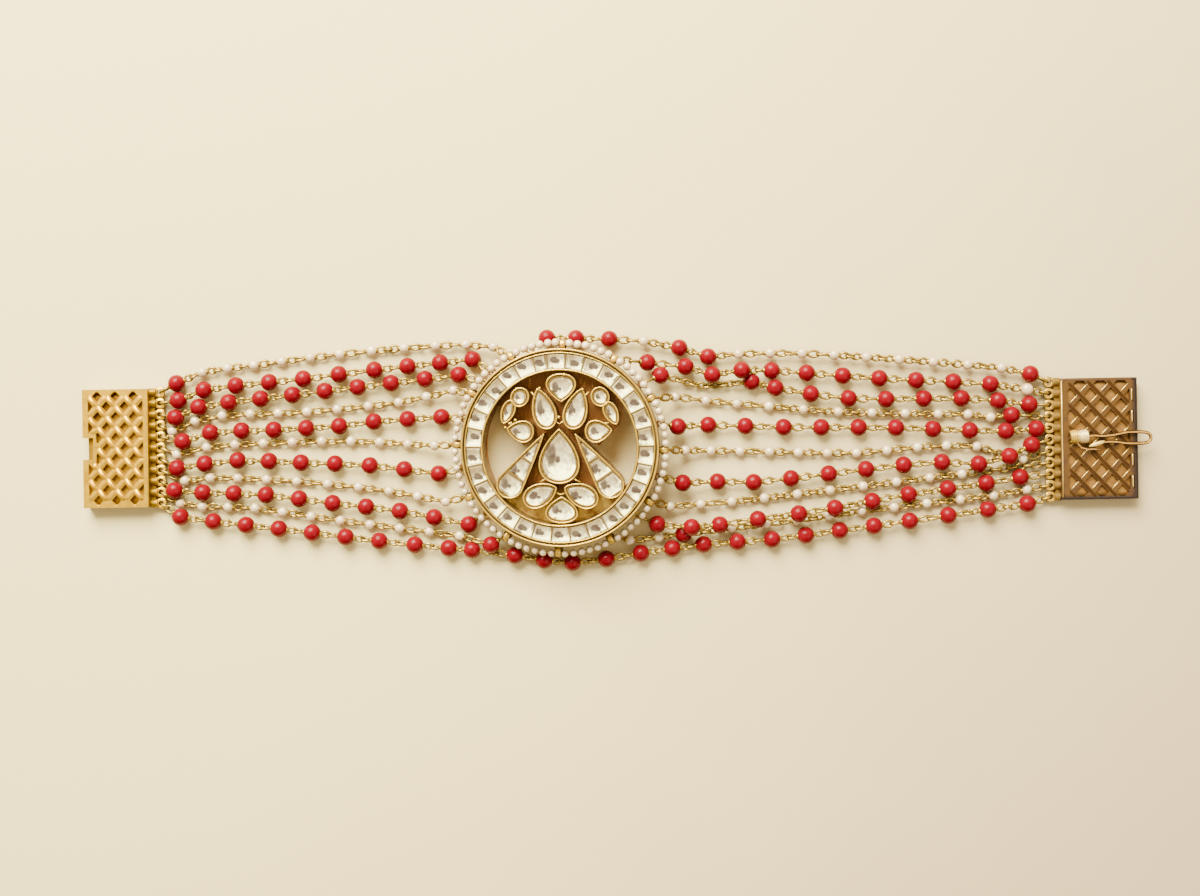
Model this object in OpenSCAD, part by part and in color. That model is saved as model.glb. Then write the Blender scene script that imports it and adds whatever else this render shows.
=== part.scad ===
// Kundan bracelet, unfastened and laid out flat: a round stone-set medallion in the middle,
// eleven strands of coral and pearl on each side, and a pierced clasp at each end.
// X runs along the bracelet, Y across it and Z up from the surface that it lies on.

/* [Beads] */
// Diameter of a coral bead
coral_d = 3.1; // [2.6:0.1:3.2]
// Diameter of a pearl
pearl_d = 1.9; // [1.4:0.1:2]
// Diameter of the one large pearl
large_pearl_d = 2.3; // [2:0.1:2.5]
// Diameter of the hole drilled through a bead
bore_d = 0.9; // [0.8:0.05:1]
// Diameter of the gold wire that carries the beads
wire_d = 0.45; // [0.35:0.05:0.5]

/* [Medallion] */
// Outer diameter of the medallion's gold rim
rim_d = 35.1; // [34:0.1:36]
// Height of the medallion from its back to its rim
medallion_h = 6; // [5.4:0.2:7]
// Diameter of the round opening that holds the flower of stones
opening_d = 27.2; // [26.6:0.2:27.4]
// Thickness of the pierced plate behind the flower
back_plate_t = 0.8; // [0.6:0.1:1.2]
// Number of full stones in the ring, besides one narrow one
full_ring_stones = 29; // [25:1:31]
// How far the right side of the medallion is lifted, in degrees
roll = 4; // [0:0.5:5]
// How far the top side of the medallion is lifted, in degrees
pitch = 3.5; // [0:0.5:4]

/* [Setting] */
// Thickness of the gold wall round each stone of the flower
collet_t = 0.35; // [0.3:0.05:0.45]
// Thickness of the gold bar between two stones of the ring
divider_t = 0.25; // [0.2:0.05:0.35]
// Gap between a stone and the gold round it
stone_gap = 0.12; // [0.1:0.01:0.2]
// Depth of the pocket that a stone of the flower lies in
pocket_depth = 1.1; // [0.9:0.1:1.4]

/* [Clasp] */
// Length of the box half of the clasp, on the left
box_l = 11.7; // [11:0.1:12.5]
// Width of the box half
box_w = 21.2; // [20.4:0.1:22]
// Height of the box half
box_h = 3; // [2.6:0.1:3.6]
// Length of the plate half of the clasp, on the right
plate_l = 13.7; // [13:0.1:14.5]
// Width of the plate half
plate_w = 21.8; // [21:0.1:22.6]
// Height of the plate half
plate_h = 2.6; // [2.2:0.1:3]
// Thickness of the clasp's walls
clasp_t = 0.6; // [0.5:0.05:0.8]
// Width of the bars in the pierced lattice of the box half
box_bar = 1.1; // [0.7:0.05:1.3]
// Width of the bars in the pierced lattice of the plate half
plate_bar = 0.8; // [0.7:0.05:1.2]
// Diameter of the wire of the catch
catch_d = 0.5; // [0.4:0.05:0.55]
// How far both halves are turned from square, in degrees
clasp_turn = 1; // [0:0.5:2]

/* [Hidden] */
$fn = 48;
coral_r = coral_d / 2;
pearl_r = pearl_d / 2;
wire_r = wire_d / 2;
wire_sides = 5;
pearl_sides = 8;
gold = "goldenrod";
pale_gold = "khaki";
dark_gold = "darkgoldenrod";
coral = "firebrick";
pearl = "ivory";
stone = "lightgray";

// The medallion: its levels above its own back, and the radii of its ring of stones
medallion_at = [-9.8, 0.8];
rim_r = rim_d / 2;
opening_r = opening_d / 2;
rim_t = 0.4;
groove_t = 0.25;
groove_depth = 0.7;
ring_wall_t = 0.4;
ring_seat_t = 0.5;
ring_seat_z = medallion_h - 1.2;
ring_stone_in = opening_r + ring_wall_t;
ring_stone_out = rim_r - rim_t - 2 * groove_t;
tilt = acos(cos(roll) * cos(pitch));
medallion_z = rim_r * sin(tilt);
plate_z = 1;
collet_base = plate_z + 0.3;
collet_top = medallion_h - 0.4;

// The ring's one narrow stone, and where it lies
narrow_step = 8.6;
narrow_at = 102.5;
ring_step = (360 - narrow_step) / full_ring_stones;

// Rings soldered to the rim: twelve among the seed pearls, and a low one for each coral strand
loop_wire_r = 0.2;
loop_r = 0.62;
loop_at = rim_r + loop_r + 0.05;
high_loops = 12;
high_first = 28.5;
high_z = 3;
low_z = 0.9;
low_angles = [133, 140, 164, 192, 221, 108, 38, 13, 342.5, 317];

// The clasp halves: centres, and the eyes that the strands hook into
box_at = [-89.85, 0.35];
plate_at = [86.55, 2.15];
eyes = 11;
box_eye_pitch = 2;
plate_eye_pitch = 2.07;
eye_out = 1.7;
eye_r = 0.75;
eye_t = 0.6;
eye_z = 1;
eye_bore = 0.9;
knuckle_r = 0.75;
knuckle_l = 1.1;

// Wire hooks: how far above or below a hole the wire turns, and how far it runs on past it
hook_up = 0.65;
hook_through = 0.55;
hook_out = 0.8;
bead_lead = 0.05;
long_gap = 8;

// Small vector helpers
function unit(v) = v / norm(v);
function turned(p, a) = [p[0] * cos(a) - p[1] * sin(a), p[0] * sin(a) + p[1] * cos(a)];
function flat(v) = [v[0], v[1], 0];

// A direction or a point of the level medallion, taken to where the tilted one lies
function tilted(v) =
    let (y = v[1] * cos(pitch) - v[2] * sin(pitch), z = v[1] * sin(pitch) + v[2] * cos(pitch))
    [v[0] * cos(roll) - z * sin(roll), y, v[0] * sin(roll) + z * cos(roll)];
function on_medallion(p) = [medallion_at[0], medallion_at[1], medallion_z] + tilted(p);
module on_medallion_place() {
    translate([medallion_at[0], medallion_at[1], medallion_z]) rotate([pitch, -roll, 0]) children();
}

// An anchor is a hole that a strand hooks through: [its centre, its axis, side that the wire turns on]
function box_eye(i) =
    let (p = box_at + turned([box_l / 2 + eye_out, ((eyes - 1) / 2 - i) * box_eye_pitch], clasp_turn))
    [[p[0], p[1], eye_z], [0, 0, 1], 1];
function plate_eye(i) =
    let (p = plate_at + turned([-plate_l / 2 - eye_out, ((eyes - 1) / 2 - i) * plate_eye_pitch], clasp_turn))
    [[p[0], p[1], eye_z], [0, 0, 1], 1];
function ring_hole(angle, z, side) =
    [on_medallion([loop_at * cos(angle), loop_at * sin(angle), z]), tilted([0, 0, 1]), side];
function high_hole(k) = ring_hole(high_first + k * 360 / high_loops, high_z, -1);
function low_hole(j) = ring_hole(low_angles[j], low_z, j < 5 ? 1 : -1);

// A route gives bead number, x, y and lift off the surface. A number between two whole ones
// bends the bare wire there. The curve through the rows is smooth.
function row_at(rows, k, i = 0) =
    i >= len(rows) - 2 || k <= rows[i + 1][0] ? i : row_at(rows, k, i + 1);
function slope(rows, i) =
    let (a = rows[max(i - 1, 0)], b = rows[min(i + 1, len(rows) - 1)]) (b - a) / (b[0] - a[0]);
function along(rows, k) =
    let (i = row_at(rows, k), a = rows[i], b = rows[i + 1], h = b[0] - a[0], u = (k - a[0]) / h)
    (2 * u * u * u - 3 * u * u + 1) * a + (u * u * u - 2 * u * u + u) * h * slope(rows, i)
    + (3 * u * u - 2 * u * u * u) * b + (u * u * u - u * u) * h * slope(rows, i + 1);

// A strand is [first anchor, last anchor, bead count, numbers of its odd beads, route]. The odd
// beads of a coral strand are pearls, and those of a pearl strand are corals.
function is_odd(s, k) = len([for (o = s[3]) if (o == k) o]) > 0;
function bead_at(s, r, k) =
    let (p = along(s[4], k)) [p[1], p[2], max(r + p[3], k == floor(k) ? r : wire_r + 0.02)];
function bead_way(s, k) =
    let (e = 0.1, a = along(s[4], max(k - e, 0)), b = along(s[4], min(k + e, s[2] - 1)))
    unit([b[1] - a[1], b[2] - a[2], b[3] - a[3]]);

// Left half. Columns: bead number, x, y, lift
left_pearl_1 = [box_eye(0), high_hole(3), 12, [0],
    [[0, -79.3, 12.1, 0], [1, -74.8, 14.1, 0.2], [3, -65.5, 15.4, 0], [6, -50, 17.4, 0],
     [8, -38.4, 18.5, 0], [10, -27.2, 19.1, 0.4], [11, -22.2, 18.6, 1.3]]];
left_coral_1 = [box_eye(1), low_hole(0), 10, [],
    [[0, -79, 9, 0], [1, -74.4, 10.9, 0], [4, -56.5, 12.9, 0], [6, -43.7, 14.5, 0],
     [9, -26, 16.4, 0]]];
left_coral_2 = [box_eye(2), low_hole(1), 10, [],
    [[0, -79.5, 5.9, 0], [1, -75.3, 7.8, 0], [3, -64.2, 9.3, 0], [6, -46.7, 11.4, 0],
     [9, -28.5, 13.6, 0]]];
left_pearl_2 = [box_eye(3), high_hole(4), 11, [],
    [[0, -80.2, 3.5, 0], [1, -76.1, 5.3, 0], [2, -71.2, 6.3, 0], [5, -55.9, 7, 0],
     [8, -39.4, 8.7, 0], [10, -29.4, 10.8, 1.2]]];
left_coral_3 = [box_eye(4), low_hole(2), 9, [],
    [[0, -78.2, 1.6, 0], [1, -73.2, 3.2, 0], [3, -61.8, 3.7, 0], [5, -50, 4.4, 0],
     [6, -43.8, 5.2, 0], [8, -31.6, 6, 0]]];
left_pearl_3 = [box_eye(5), high_hole(5), 10, [],
    [[0, -79.4, -0.7, 0], [1, -74, 0.6, 0], [3, -63.8, 1.3, 0], [6, -48, 1.7, 0],
     [8, -37.7, 1.2, 0.2], [9, -32.8, 0.9, 1.2]]];
left_coral_4 = [box_eye(6), low_hole(3), 9, [],
    [[0, -79.2, -3.2, 0], [1, -74.2, -2.4, 0], [2, -68.3, -1.8, 0], [4, -56.9, -2.2, 0],
     [6, -44.5, -2.7, 0], [8, -32.1, -4.2, 0]]];
left_pearl_4 = [box_eye(7), high_hole(6), 10, [],
    [[0, -78, -5.4, 0], [1, -73.4, -4.9, 0], [3, -63.2, -5.2, 0], [5, -52.2, -6, 0],
     [7, -41.1, -7.3, 0], [9, -30.8, -9.2, 1]]];
left_coral_5 = [box_eye(8), low_hole(4), 10, [],
    [[0, -79.6, -7.2, 0.2], [1, -74.6, -7.6, 0], [3, -63.2, -8, 0], [5, -51.2, -9.5, 0],
     [7, -39.1, -10.9, 0], [9, -26.7, -13.3, 0]]];
left_pearl_5 = [box_eye(9), high_hole(7), 12, [11],
    [[0, -78.8, -9.5, 0], [1, -74.8, -10.1, 0], [3, -65.3, -10.4, 0], [5, -55.2, -11.9, 0],
     [8, -39.2, -14, 0], [10, -28.4, -15.4, 0], [11, -22.6, -16.9, 1.1]]];

// The lowest strand runs on under the medallion's border, from one clasp half to the other
lower_coral = [box_eye(10), plate_eye(10), 26, [],
    [[0, -78.6, -12, 0], [1, -72.7, -12.8, 0], [3, -60.9, -14.1, 0], [6, -42.8, -16.3, 0],
     [8, -30.3, -17.6, 0], [9, -26.1, -17.9, 0], [10, -18.4, -18.9, 0], [12, -8, -20.2, 0],
     [14, 4.3, -18.5, 0], [16, 15.6, -16.9, 0], [18, 27.9, -16, 0], [20, 40.1, -14.4, 0],
     [22, 52.7, -12.7, 0], [25, 73.9, -9.6, 0]]];

// Right half. Columns: bead number, x, y, lift
upper_strand = [low_hole(5), plate_eye(0), 16, [3, 6, 7, 8, 9, 10, 11, 12, 13, 14],
    [[0, -12.6, 20.2, 0.6], [1, -7.4, 20.2, 0], [3, 4.8, 19.7, 0], [4, 11.2, 18.5, 0],
     [5, 16.4, 16.9, 0], [6, 21.9, 17.4, 0], [8, 33.3, 17.5, 0], [11, 50.8, 16.4, 0],
     [14, 69.2, 14.9, 0], [15, 74.4, 13.8, 0]]];
right_coral_1 = [high_hole(1), plate_eye(1), 12, [11],
    [[0, 5.4, 15.8, 1], [1, 12.3, 15.1, 0.2], [2, 17.1, 13.6, 0.8], [3, 22.3, 14.4, 1.5],
     [4, 27.8, 14.4, 0.2], [7, 47.2, 13, 0], [10, 67.2, 12, 0], [11, 73.8, 11, 0]]];
right_coral_2 = [low_hole(6), plate_eye(2), 10, [],
    [[0, 7.8, 13.5, 1], [0.5, 15.5, 11.6, -0.8], [1, 24.2, 12.4, 0], [2, 28.5, 11.3, 0],
     [4, 41.7, 9.4, 0], [7, 62, 9.4, 0], [8, 68.6, 9, 0], [9, 74.2, 8.3, 0]]];
right_pearl_2 = [high_hole(0), plate_eye(3), 12, [11],
    [[0, 10.4, 9.6, 1.2], [1, 16, 9, 0.1], [3, 27.4, 8, 0], [5, 39.9, 7, 0], [8, 57.9, 6.6, 0],
     [9, 63.3, 6.6, 0], [10, 67.4, 6, 0], [11, 71, 6.4, 0]]];
right_coral_3 = [low_hole(7), plate_eye(4), 11, [],
    [[0, 10.9, 4.3, 1.2], [1, 16.4, 4.6, 0], [3, 30, 4.2, 0], [6, 50.2, 4.1, 0],
     [8, 63.5, 3.6, 0], [9, 70, 3.5, 0], [10, 75.5, 3.9, 0]]];
right_pearl_3 = [high_hole(11), plate_eye(6), 12, [],
    [[0, 12.2, 0, 1.2], [1, 16.9, 0, 0.1], [3, 27.5, -0.2, 0], [6, 43.2, -0.4, 0],
     [8, 54.2, 0.6, 0], [10, 64.9, 0.8, 0], [10.5, 69.3, -0.6, -0.6], [11, 73.2, -1.5, 0]]];
right_coral_4 = [low_hole(8), plate_eye(5), 11, [],
    [[0, 11.8, -5.8, 1.2], [1, 18.1, -5.6, 0], [2, 24.6, -5.7, 0], [4, 38.1, -4.2, 0],
     [6, 51.6, -2.6, 0], [7, 58.5, -2.1, 0], [8, 65, -2.4, 0.5], [9, 70.4, -1, 1],
     [10, 74.5, 1, 0.6]]];
right_pearl_4 = [high_hole(10), plate_eye(7), 10, [],
    [[0, 9.5, -10, 1.2], [2, 20.7, -9.2, 0], [4, 32.5, -7.8, 0], [6, 44.4, -6.4, 0],
     [8, 56.4, -4.9, 0], [9, 62.2, -4.2, 0], [9.4, 67, -3.6, -0.6], [9.8, 72.9, -2.9, 0]]];
right_coral_5 = [low_hole(9), plate_eye(8), 11, [],
    [[0, 7.2, -13.2, 1.4], [1, 13.3, -13.7, 2.4], [2, 18.4, -13.3, 1.4], [3, 25.2, -12.3, 1.5],
     [4, 32.5, -11.3, 1.8], [5, 39, -10.3, 1.5], [6, 45.9, -9.1, 0.3], [7, 52.5, -7.9, 0],
     [9, 66.5, -5.9, 0], [10, 72.6, -4.8, 0]]];
right_pearl_5 = [high_hole(9), plate_eye(9), 13, [2],
    [[0, 2.3, -16.1, 1], [1, 7.6, -15.6, 0.2], [2, 12, -15, 0], [3, 20.7, -14, 0],
     [5, 32.5, -12.6, 0], [7, 44.1, -10.9, 0], [9, 55.9, -9.5, 0], [11, 67.9, -8.1, 0],
     [12, 73.9, -7, 0]]];

// The stones of the flower. Columns: centre x, centre y, length, width, way that the point
// looks, sharpness (0 oval, 1 pointed). Lengths and widths are over the gold wall.
flower = [
    [0.3, 10.6, 5.1, 5.4, 270, 0.8],
    [-2.85, 6.9, 7.5, 4.3, 106, 0.7], [3, 6.9, 7.5, 4.3, 74, 0.7],
    [-7, 8.95, 3.6, 3.3, 60, 0], [7.2, 9, 3.6, 3.3, 120, 0],
    [-9.15, 6.35, 4.5, 2.5, 248, 0.35], [9.15, 6.1, 4.4, 2.6, 295, 0.35],
    [-6.95, 2.95, 4.9, 4, 170, 0.7], [6.9, 2.95, 4.9, 4.1, 5, 0.7],
    [-0.1, -1.5, 9.8, 7.3, 90, 0.9],
    [-3.5, -8.35, 6.5, 4.3, 25, 0.45], [3.75, -8.35, 6.5, 4.3, 155, 0.45],
    [0.3, -11, 4.8, 5.9, 90, 0.8]];

// The two long petals: tip x, tip y, way from the tip, and the stations that part their stones
petal_l = 13.3;
petal_w = 4.9;
petals = [[-2.75, 2.5, 236], [2.75, 2.5, 304.5]];
petal_cuts = [1.7, 5.6, 9.15, petal_l];

// Half width at t, from 0 at the point of a stone to 180 at its round end
function drop_x(l, t) = l * (1 - cos(t)) / 2;
function drop_y(w, m, t) = w / 2 * sin(t) * pow(sin(t / 2), m) * (1 + 0.3 * m);
function petal_y(s, w) =
    let (blunt = 0.82 * petal_l, end = petal_l - blunt)
    s < blunt ? w / 2 * pow(s / blunt, 0.85) : w / 2 * sqrt(max(0, 1 - pow((s - blunt) / end, 2)));

// Outline of a stone or of its wall, drawn in by an inset and put in its place
function drop_outline(f, inset, n) =
    let (l = f[2] - 2 * inset, w = f[3] - 2 * inset)
    [for (i = [0 : n - 1])
        let (t = 360 * i / n, side = t > 180 ? -1 : 1, h = t > 180 ? 360 - t : t,
            p = turned([l / 2 - drop_x(l, h), -side * drop_y(w, f[5], h)], f[4]))
        [f[0] + p[0], f[1] + p[1]]];

// Outline of the part of a long petal between two stations
function petal_outline(p, from, to, inset, n) =
    let (steps = [for (i = [0 : n]) from + (to - from) * (1 - cos(180 * i / n)) / 2],
        half = [for (s = steps) max(petal_y(s, petal_w) - inset, 0.02)],
        edge = concat([for (i = [0 : n]) [steps[i], half[i]]],
            [for (i = [n : -1 : 0]) [steps[i], -half[i]]]))
    [for (e = edge) [p[0], p[1]] + turned(e, p[2])];

// A cut stone: flat back, girdle, slanted facets and a flat table, over any outline
module cut_stone(outline, base, girdle, top, table) {
    n = len(outline);
    middle = [for (a = [0, 1]) let (s = [for (p = outline) p[a]]) (max(s) + min(s)) / 2];
    levels = [[base, 1], [girdle, 1], [top, table]];
    points = [for (v = levels, p = outline)
        let (q = middle + (p - middle) * v[1]) [q[0], q[1], v[0]]];
    sides = [for (v = [0 : len(levels) - 2], i = [0 : n - 1])
        [v * n + i, v * n + (i + 1) % n, (v + 1) * n + (i + 1) % n, (v + 1) * n + i]];
    polyhedron(points, concat([[for (i = [0 : n - 1]) n - 1 - i]], sides,
        [[for (i = [0 : n - 1]) 2 * n + i]]), convexity = 4);
}

// A wire whose thickness may change: a list of [x, y, z, radius] with flat ends
module swept_wire(path, sides) {
    n = len(path);
    at = [for (p = path) [p[0], p[1], p[2]]];
    way = [for (i = [0 : n - 1]) unit(
        (i > 0 ? unit(at[i] - at[i - 1]) : [0, 0, 0]) + (i < n - 1 ? unit(at[i + 1] - at[i]) : [0, 0, 0]))];
    across = [for (w = way) unit(cross(cross(w, [0, 1, 0]), w))];
    up = [for (i = [0 : n - 1]) cross(way[i], across[i])];
    points = [for (i = [0 : n - 1], j = [0 : sides - 1])
        at[i] + path[i][3] * (cos(360 * j / sides) * across[i] + sin(360 * j / sides) * up[i])];
    walls = [for (i = [0 : n - 2], j = [0 : sides - 1])
        let (k = (j + 1) % sides) [i * sides + j, (i + 1) * sides + j, (i + 1) * sides + k, i * sides + k]];
    polyhedron(points, concat([[for (j = [0 : sides - 1]) j]], walls,
        [[for (j = [0 : sides - 1]) n * sides - 1 - j]]), convexity = 6);
}

// The end of a strand's wire: through the hole, round, and off towards its nearest bead
function hook(anchor, bead) =
    let (c = anchor[0], u = anchor[1] * anchor[2], out = unit(flat(bead - c)))
    [c - hook_through * u, c + hook_up * u, c + hook_up * u + hook_out * out];
function reversed(v) = [for (i = [len(v) - 1 : -1 : 0]) v[i]];
function thick(points, r) = [for (p = points) [p[0], p[1], p[2], r]];

// Bends of the bare wire after bead k: the route's own rows, or the middle of a long gap
function bends(s, r, k) =
    let (own = [for (row = s[4]) if (row[0] > k && row[0] < k + 1) row[0]],
        far = k < s[2] - 1 && norm(bead_at(s, r, k + 1) - bead_at(s, r, k)) > long_gap)
    [for (b = len(own) > 0 ? own : far ? [k + 0.5] : []) bead_at(s, r, b)];

// Wire of a coral strand: straight through each bead, bent between them
function coral_route(s, r, last_r) =
    let (n = s[2])
    concat(
        hook(s[0], bead_at(s, r, 0)),
        [for (k = [0 : n - 1]) each
            let (c = bead_at(s, r, k), w = bead_way(s, k), h = r + bead_lead)
            concat([c - h * w, c + h * w], bends(s, r, k))],
        reversed(hook(s[1], bead_at(s, r, n - 1))));
module coral_wire(s) color(gold) swept_wire(thick(coral_route(s, coral_r), wire_r), wire_sides);

// Pearls strung as one swept solid, which swells at each bead
function pearl_rings(s, k) =
    let (r = is_odd(s, k) ? coral_r : pearl_r, c = bead_at(s, r, k), w = bead_way(s, k))
    [for (q = [[-1, wire_r], [-0.72, 0.7 * r], [0, r], [0.72, 0.7 * r], [1, wire_r]])
        let (p = c + q[0] * (r + bead_lead) * w) [p[0], p[1], p[2], q[1]]];
function pearl_route(s) =
    let (n = s[2])
    concat(
        thick(hook(s[0], bead_at(s, pearl_r, 0)), wire_r),
        [for (k = [0 : n - 1]) each concat(pearl_rings(s, k), thick(bends(s, pearl_r, k), wire_r))],
        thick(reversed(hook(s[1], bead_at(s, pearl_r, n - 1))), wire_r));
module pearl_strand(s) color(pearl) swept_wire(pearl_route(s), pearl_sides);

// Round beads, drilled along the strand. The wire runs at the coral beads' height.
module drilled_bead(s, k, r) {
    w = bead_way(s, k);
    translate(bead_at(s, coral_r, k)) rotate([0, acos(w[2]), atan2(w[1], w[0])]) difference() {
        sphere(r = r);
        cylinder(h = 3 * r, d = bore_d, center = true);
    }
}
module coral_beads(s) color(coral) for (k = [0 : s[2] - 1]) if (!is_odd(s, k)) drilled_bead(s, k, coral_r);
module pearl_beads(s, r) color(pearl) for (k = s[3]) drilled_bead(s, k, r);

// The medallion's gold work, soldered into one piece
module ring_channel() {
    seat = ring_seat_z - ring_seat_t;
    inner_rim = ring_stone_out + groove_t;
    groove = medallion_h - groove_depth;
    rotate_extrude($fn = 96) polygon([
        [opening_r, 0], [opening_r + ring_wall_t, 0], [opening_r + ring_wall_t, seat],
        [rim_r - rim_t, seat], [rim_r - rim_t, 0], [rim_r, 0], [rim_r, medallion_h],
        [rim_r - rim_t, medallion_h], [rim_r - rim_t, groove], [inner_rim, groove],
        [inner_rim, medallion_h - 0.1], [ring_stone_out, medallion_h - 0.1],
        [ring_stone_out, ring_seat_z], [ring_stone_in, ring_seat_z],
        [ring_stone_in, medallion_h - 0.1], [opening_r, medallion_h - 0.1]]);
}
function ring_angle(i) = narrow_at + narrow_step / 2 + i * ring_step;
module ring_dividers() {
    reach = ring_stone_out - ring_stone_in + ring_wall_t;
    for (i = [0 : full_ring_stones]) rotate([0, 0, ring_angle(i)])
        translate([ring_stone_in - ring_wall_t / 2, -divider_t / 2, ring_seat_z - 0.1])
            cube([reach, divider_t, medallion_h - ring_seat_z - 0.1]);
}

// The plate behind the flower, open at the left and the right
side_gap = [[-13.4, -5.6], [-10.2, -7.6], [-8.6, -5.4], [-3.2, 2.4], [-6.8, 0.2], [-10.4, 4], [-11.4, 9.2], [-13.4, 6]];
module back_plate() {
    difference() {
        translate([0, 0, plate_z]) cylinder(r = opening_r + ring_wall_t / 2, h = back_plate_t, $fn = 96);
        for (m = [0, 1]) mirror([m, 0, 0]) translate([0, 0, plate_z - 1])
            linear_extrude(back_plate_t + 2) polygon(side_gap);
    }
}
collet_points = 28;
module collet(outline, pocket) {
    difference() {
        translate([0, 0, collet_base]) linear_extrude(collet_top - collet_base) polygon(outline);
        translate([0, 0, collet_top - pocket_depth]) linear_extrude(pocket_depth + 1) polygon(pocket);
    }
}
module petal_collet(p) {
    outline = petal_outline(p, 0, petal_l, 0, 14);
    difference() {
        translate([0, 0, collet_base]) linear_extrude(collet_top - collet_base) polygon(outline);
        for (c = [0 : 2]) translate([0, 0, collet_top - pocket_depth]) linear_extrude(pocket_depth + 1)
            polygon(petal_outline(p, petal_cuts[c] + (c > 0 ? divider_t / 2 : 0),
                petal_cuts[c + 1] - (c < 2 ? divider_t / 2 : collet_t), collet_t, 8));
    }
}
module soldered_ring(angle, z) {
    translate([loop_at * cos(angle), loop_at * sin(angle), z])
        rotate_extrude($fn = 24) translate([loop_r, 0]) circle(r = loop_wire_r, $fn = 16);
}
module medallion_frame() {
    color(pale_gold) on_medallion_place() {
        ring_channel();
        ring_dividers();
        back_plate();
        for (f = flower) collet(drop_outline(f, 0, collet_points), drop_outline(f, collet_t, collet_points));
        for (p = petals) petal_collet(p);
        for (k = [0 : high_loops - 1]) soldered_ring(high_first + k * 360 / high_loops, high_z);
        for (a = low_angles) soldered_ring(a, low_z);
    }
}

// Stones
stone_points = 16;
stone_base = collet_top - pocket_depth + stone_gap;
girdle_z = collet_top - 0.1;
table_z = collet_top + 0.5;
module flower_stone(i) {
    color(stone) on_medallion_place()
        cut_stone(reversed(drop_outline(flower[i], collet_t + stone_gap, stone_points)),
            stone_base, girdle_z, table_z, 0.55);
}
module petal_stone(p, c) {
    from = petal_cuts[c] + (c > 0 ? divider_t / 2 + stone_gap : 0.35);
    to = petal_cuts[c + 1] - (c < 2 ? divider_t / 2 + stone_gap : collet_t + stone_gap);
    color(stone) on_medallion_place()
        cut_stone(reversed(petal_outline(petals[p], from, to, collet_t + stone_gap, 5)),
            stone_base, girdle_z, table_z, 0.6);
}
function ring_cell(middle, half) =
    let (a = ring_stone_in + stone_gap, b = ring_stone_out - stone_gap, c = 0.25,
        side = divider_t / 2 + stone_gap, ya = a * sin(half) - side, yb = b * sin(half) - side)
    [for (p = [[a, c - ya], [a + c, -ya], [b - c, c / 2 - yb], [b, c - yb],
               [b, yb - c], [b - c, yb - c / 2], [a + c, ya], [a, ya - c]]) turned(p, middle)];
module ring_stones() {
    color(stone) on_medallion_place() {
        for (i = [0 : full_ring_stones - 1])
            cut_stone(ring_cell(ring_angle(i) + ring_step / 2, ring_step / 2),
                ring_seat_z + stone_gap, medallion_h - 0.3, medallion_h + 0.1, 0.72);
        cut_stone(ring_cell(narrow_at, narrow_step / 2),
            ring_seat_z + stone_gap, medallion_h - 0.3, medallion_h + 0.1, 0.72);
    }
}

// Eye row of a clasp half: a knuckle and a flat drilled tab for each strand
module eye_row(pitch_y) {
    for (i = [0 : eyes - 1]) translate([0, (i - (eyes - 1) / 2) * pitch_y, 0]) {
        translate([-0.1, 0, 1.3]) rotate([0, 90, 0]) cylinder(r = knuckle_r, h = knuckle_l + 0.1, $fn = 24);
        translate([0, 0, eye_z - eye_t / 2]) difference() {
            union() {
                translate([eye_out, 0, 0]) cylinder(r = eye_r, h = eye_t, $fn = 24);
                translate([0, -eye_r * 0.9, 0]) cube([eye_out, eye_r * 1.8, eye_t]);
            }
            translate([eye_out, 0, -1]) cylinder(d = eye_bore, h = eye_t + 2, $fn = 24);
        }
    }
    translate([-0.1, -((eyes - 1) / 2) * pitch_y - 0.6, 0.4])
        cube([knuckle_l - 0.2, (eyes - 1) * pitch_y + 1.2, 1]);
}

// Diamond openings of the lattice, in full and half rows about a middle point, kept inside a
// rectangle from its low to its high corner
lattice_columns = 3;
lattice_rows = 6;
module lattice_cuts(step, bar, middle, low, high) {
    shrink = 1 - bar / (step[0] * step[1] / norm(step));
    diamond = [[step[0] / 2, 0], [0, step[1] / 2], [-step[0] / 2, 0], [0, -step[1] / 2]] * shrink;
    module opening(i, j) translate([middle[0] + i * step[0], middle[1] + j * step[1], 0])
        linear_extrude(2) polygon(diamond);
    intersection() {
        union() {
            for (i = [0 : lattice_columns - 1], j = [0 : lattice_rows - 1])
                opening(i - (lattice_columns - 1) / 2, j - (lattice_rows - 1) / 2);
            for (i = [0 : lattice_columns], j = [1 : lattice_rows - 1])
                opening(i - lattice_columns / 2, j - lattice_rows / 2);
        }
        translate([low[0], low[1], -1]) cube([high[0] - low[0], high[1] - low[1], 4]);
    }
}
box_step = [3.23, 3.74];
box_middle = [0.04, 0.06];
box_border = [1, 0.3, 0.85];
notch_l = 1.9;
notch_w = 3.9;
notch_edge = 0.5;
mouth_h = 1.6;
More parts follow.
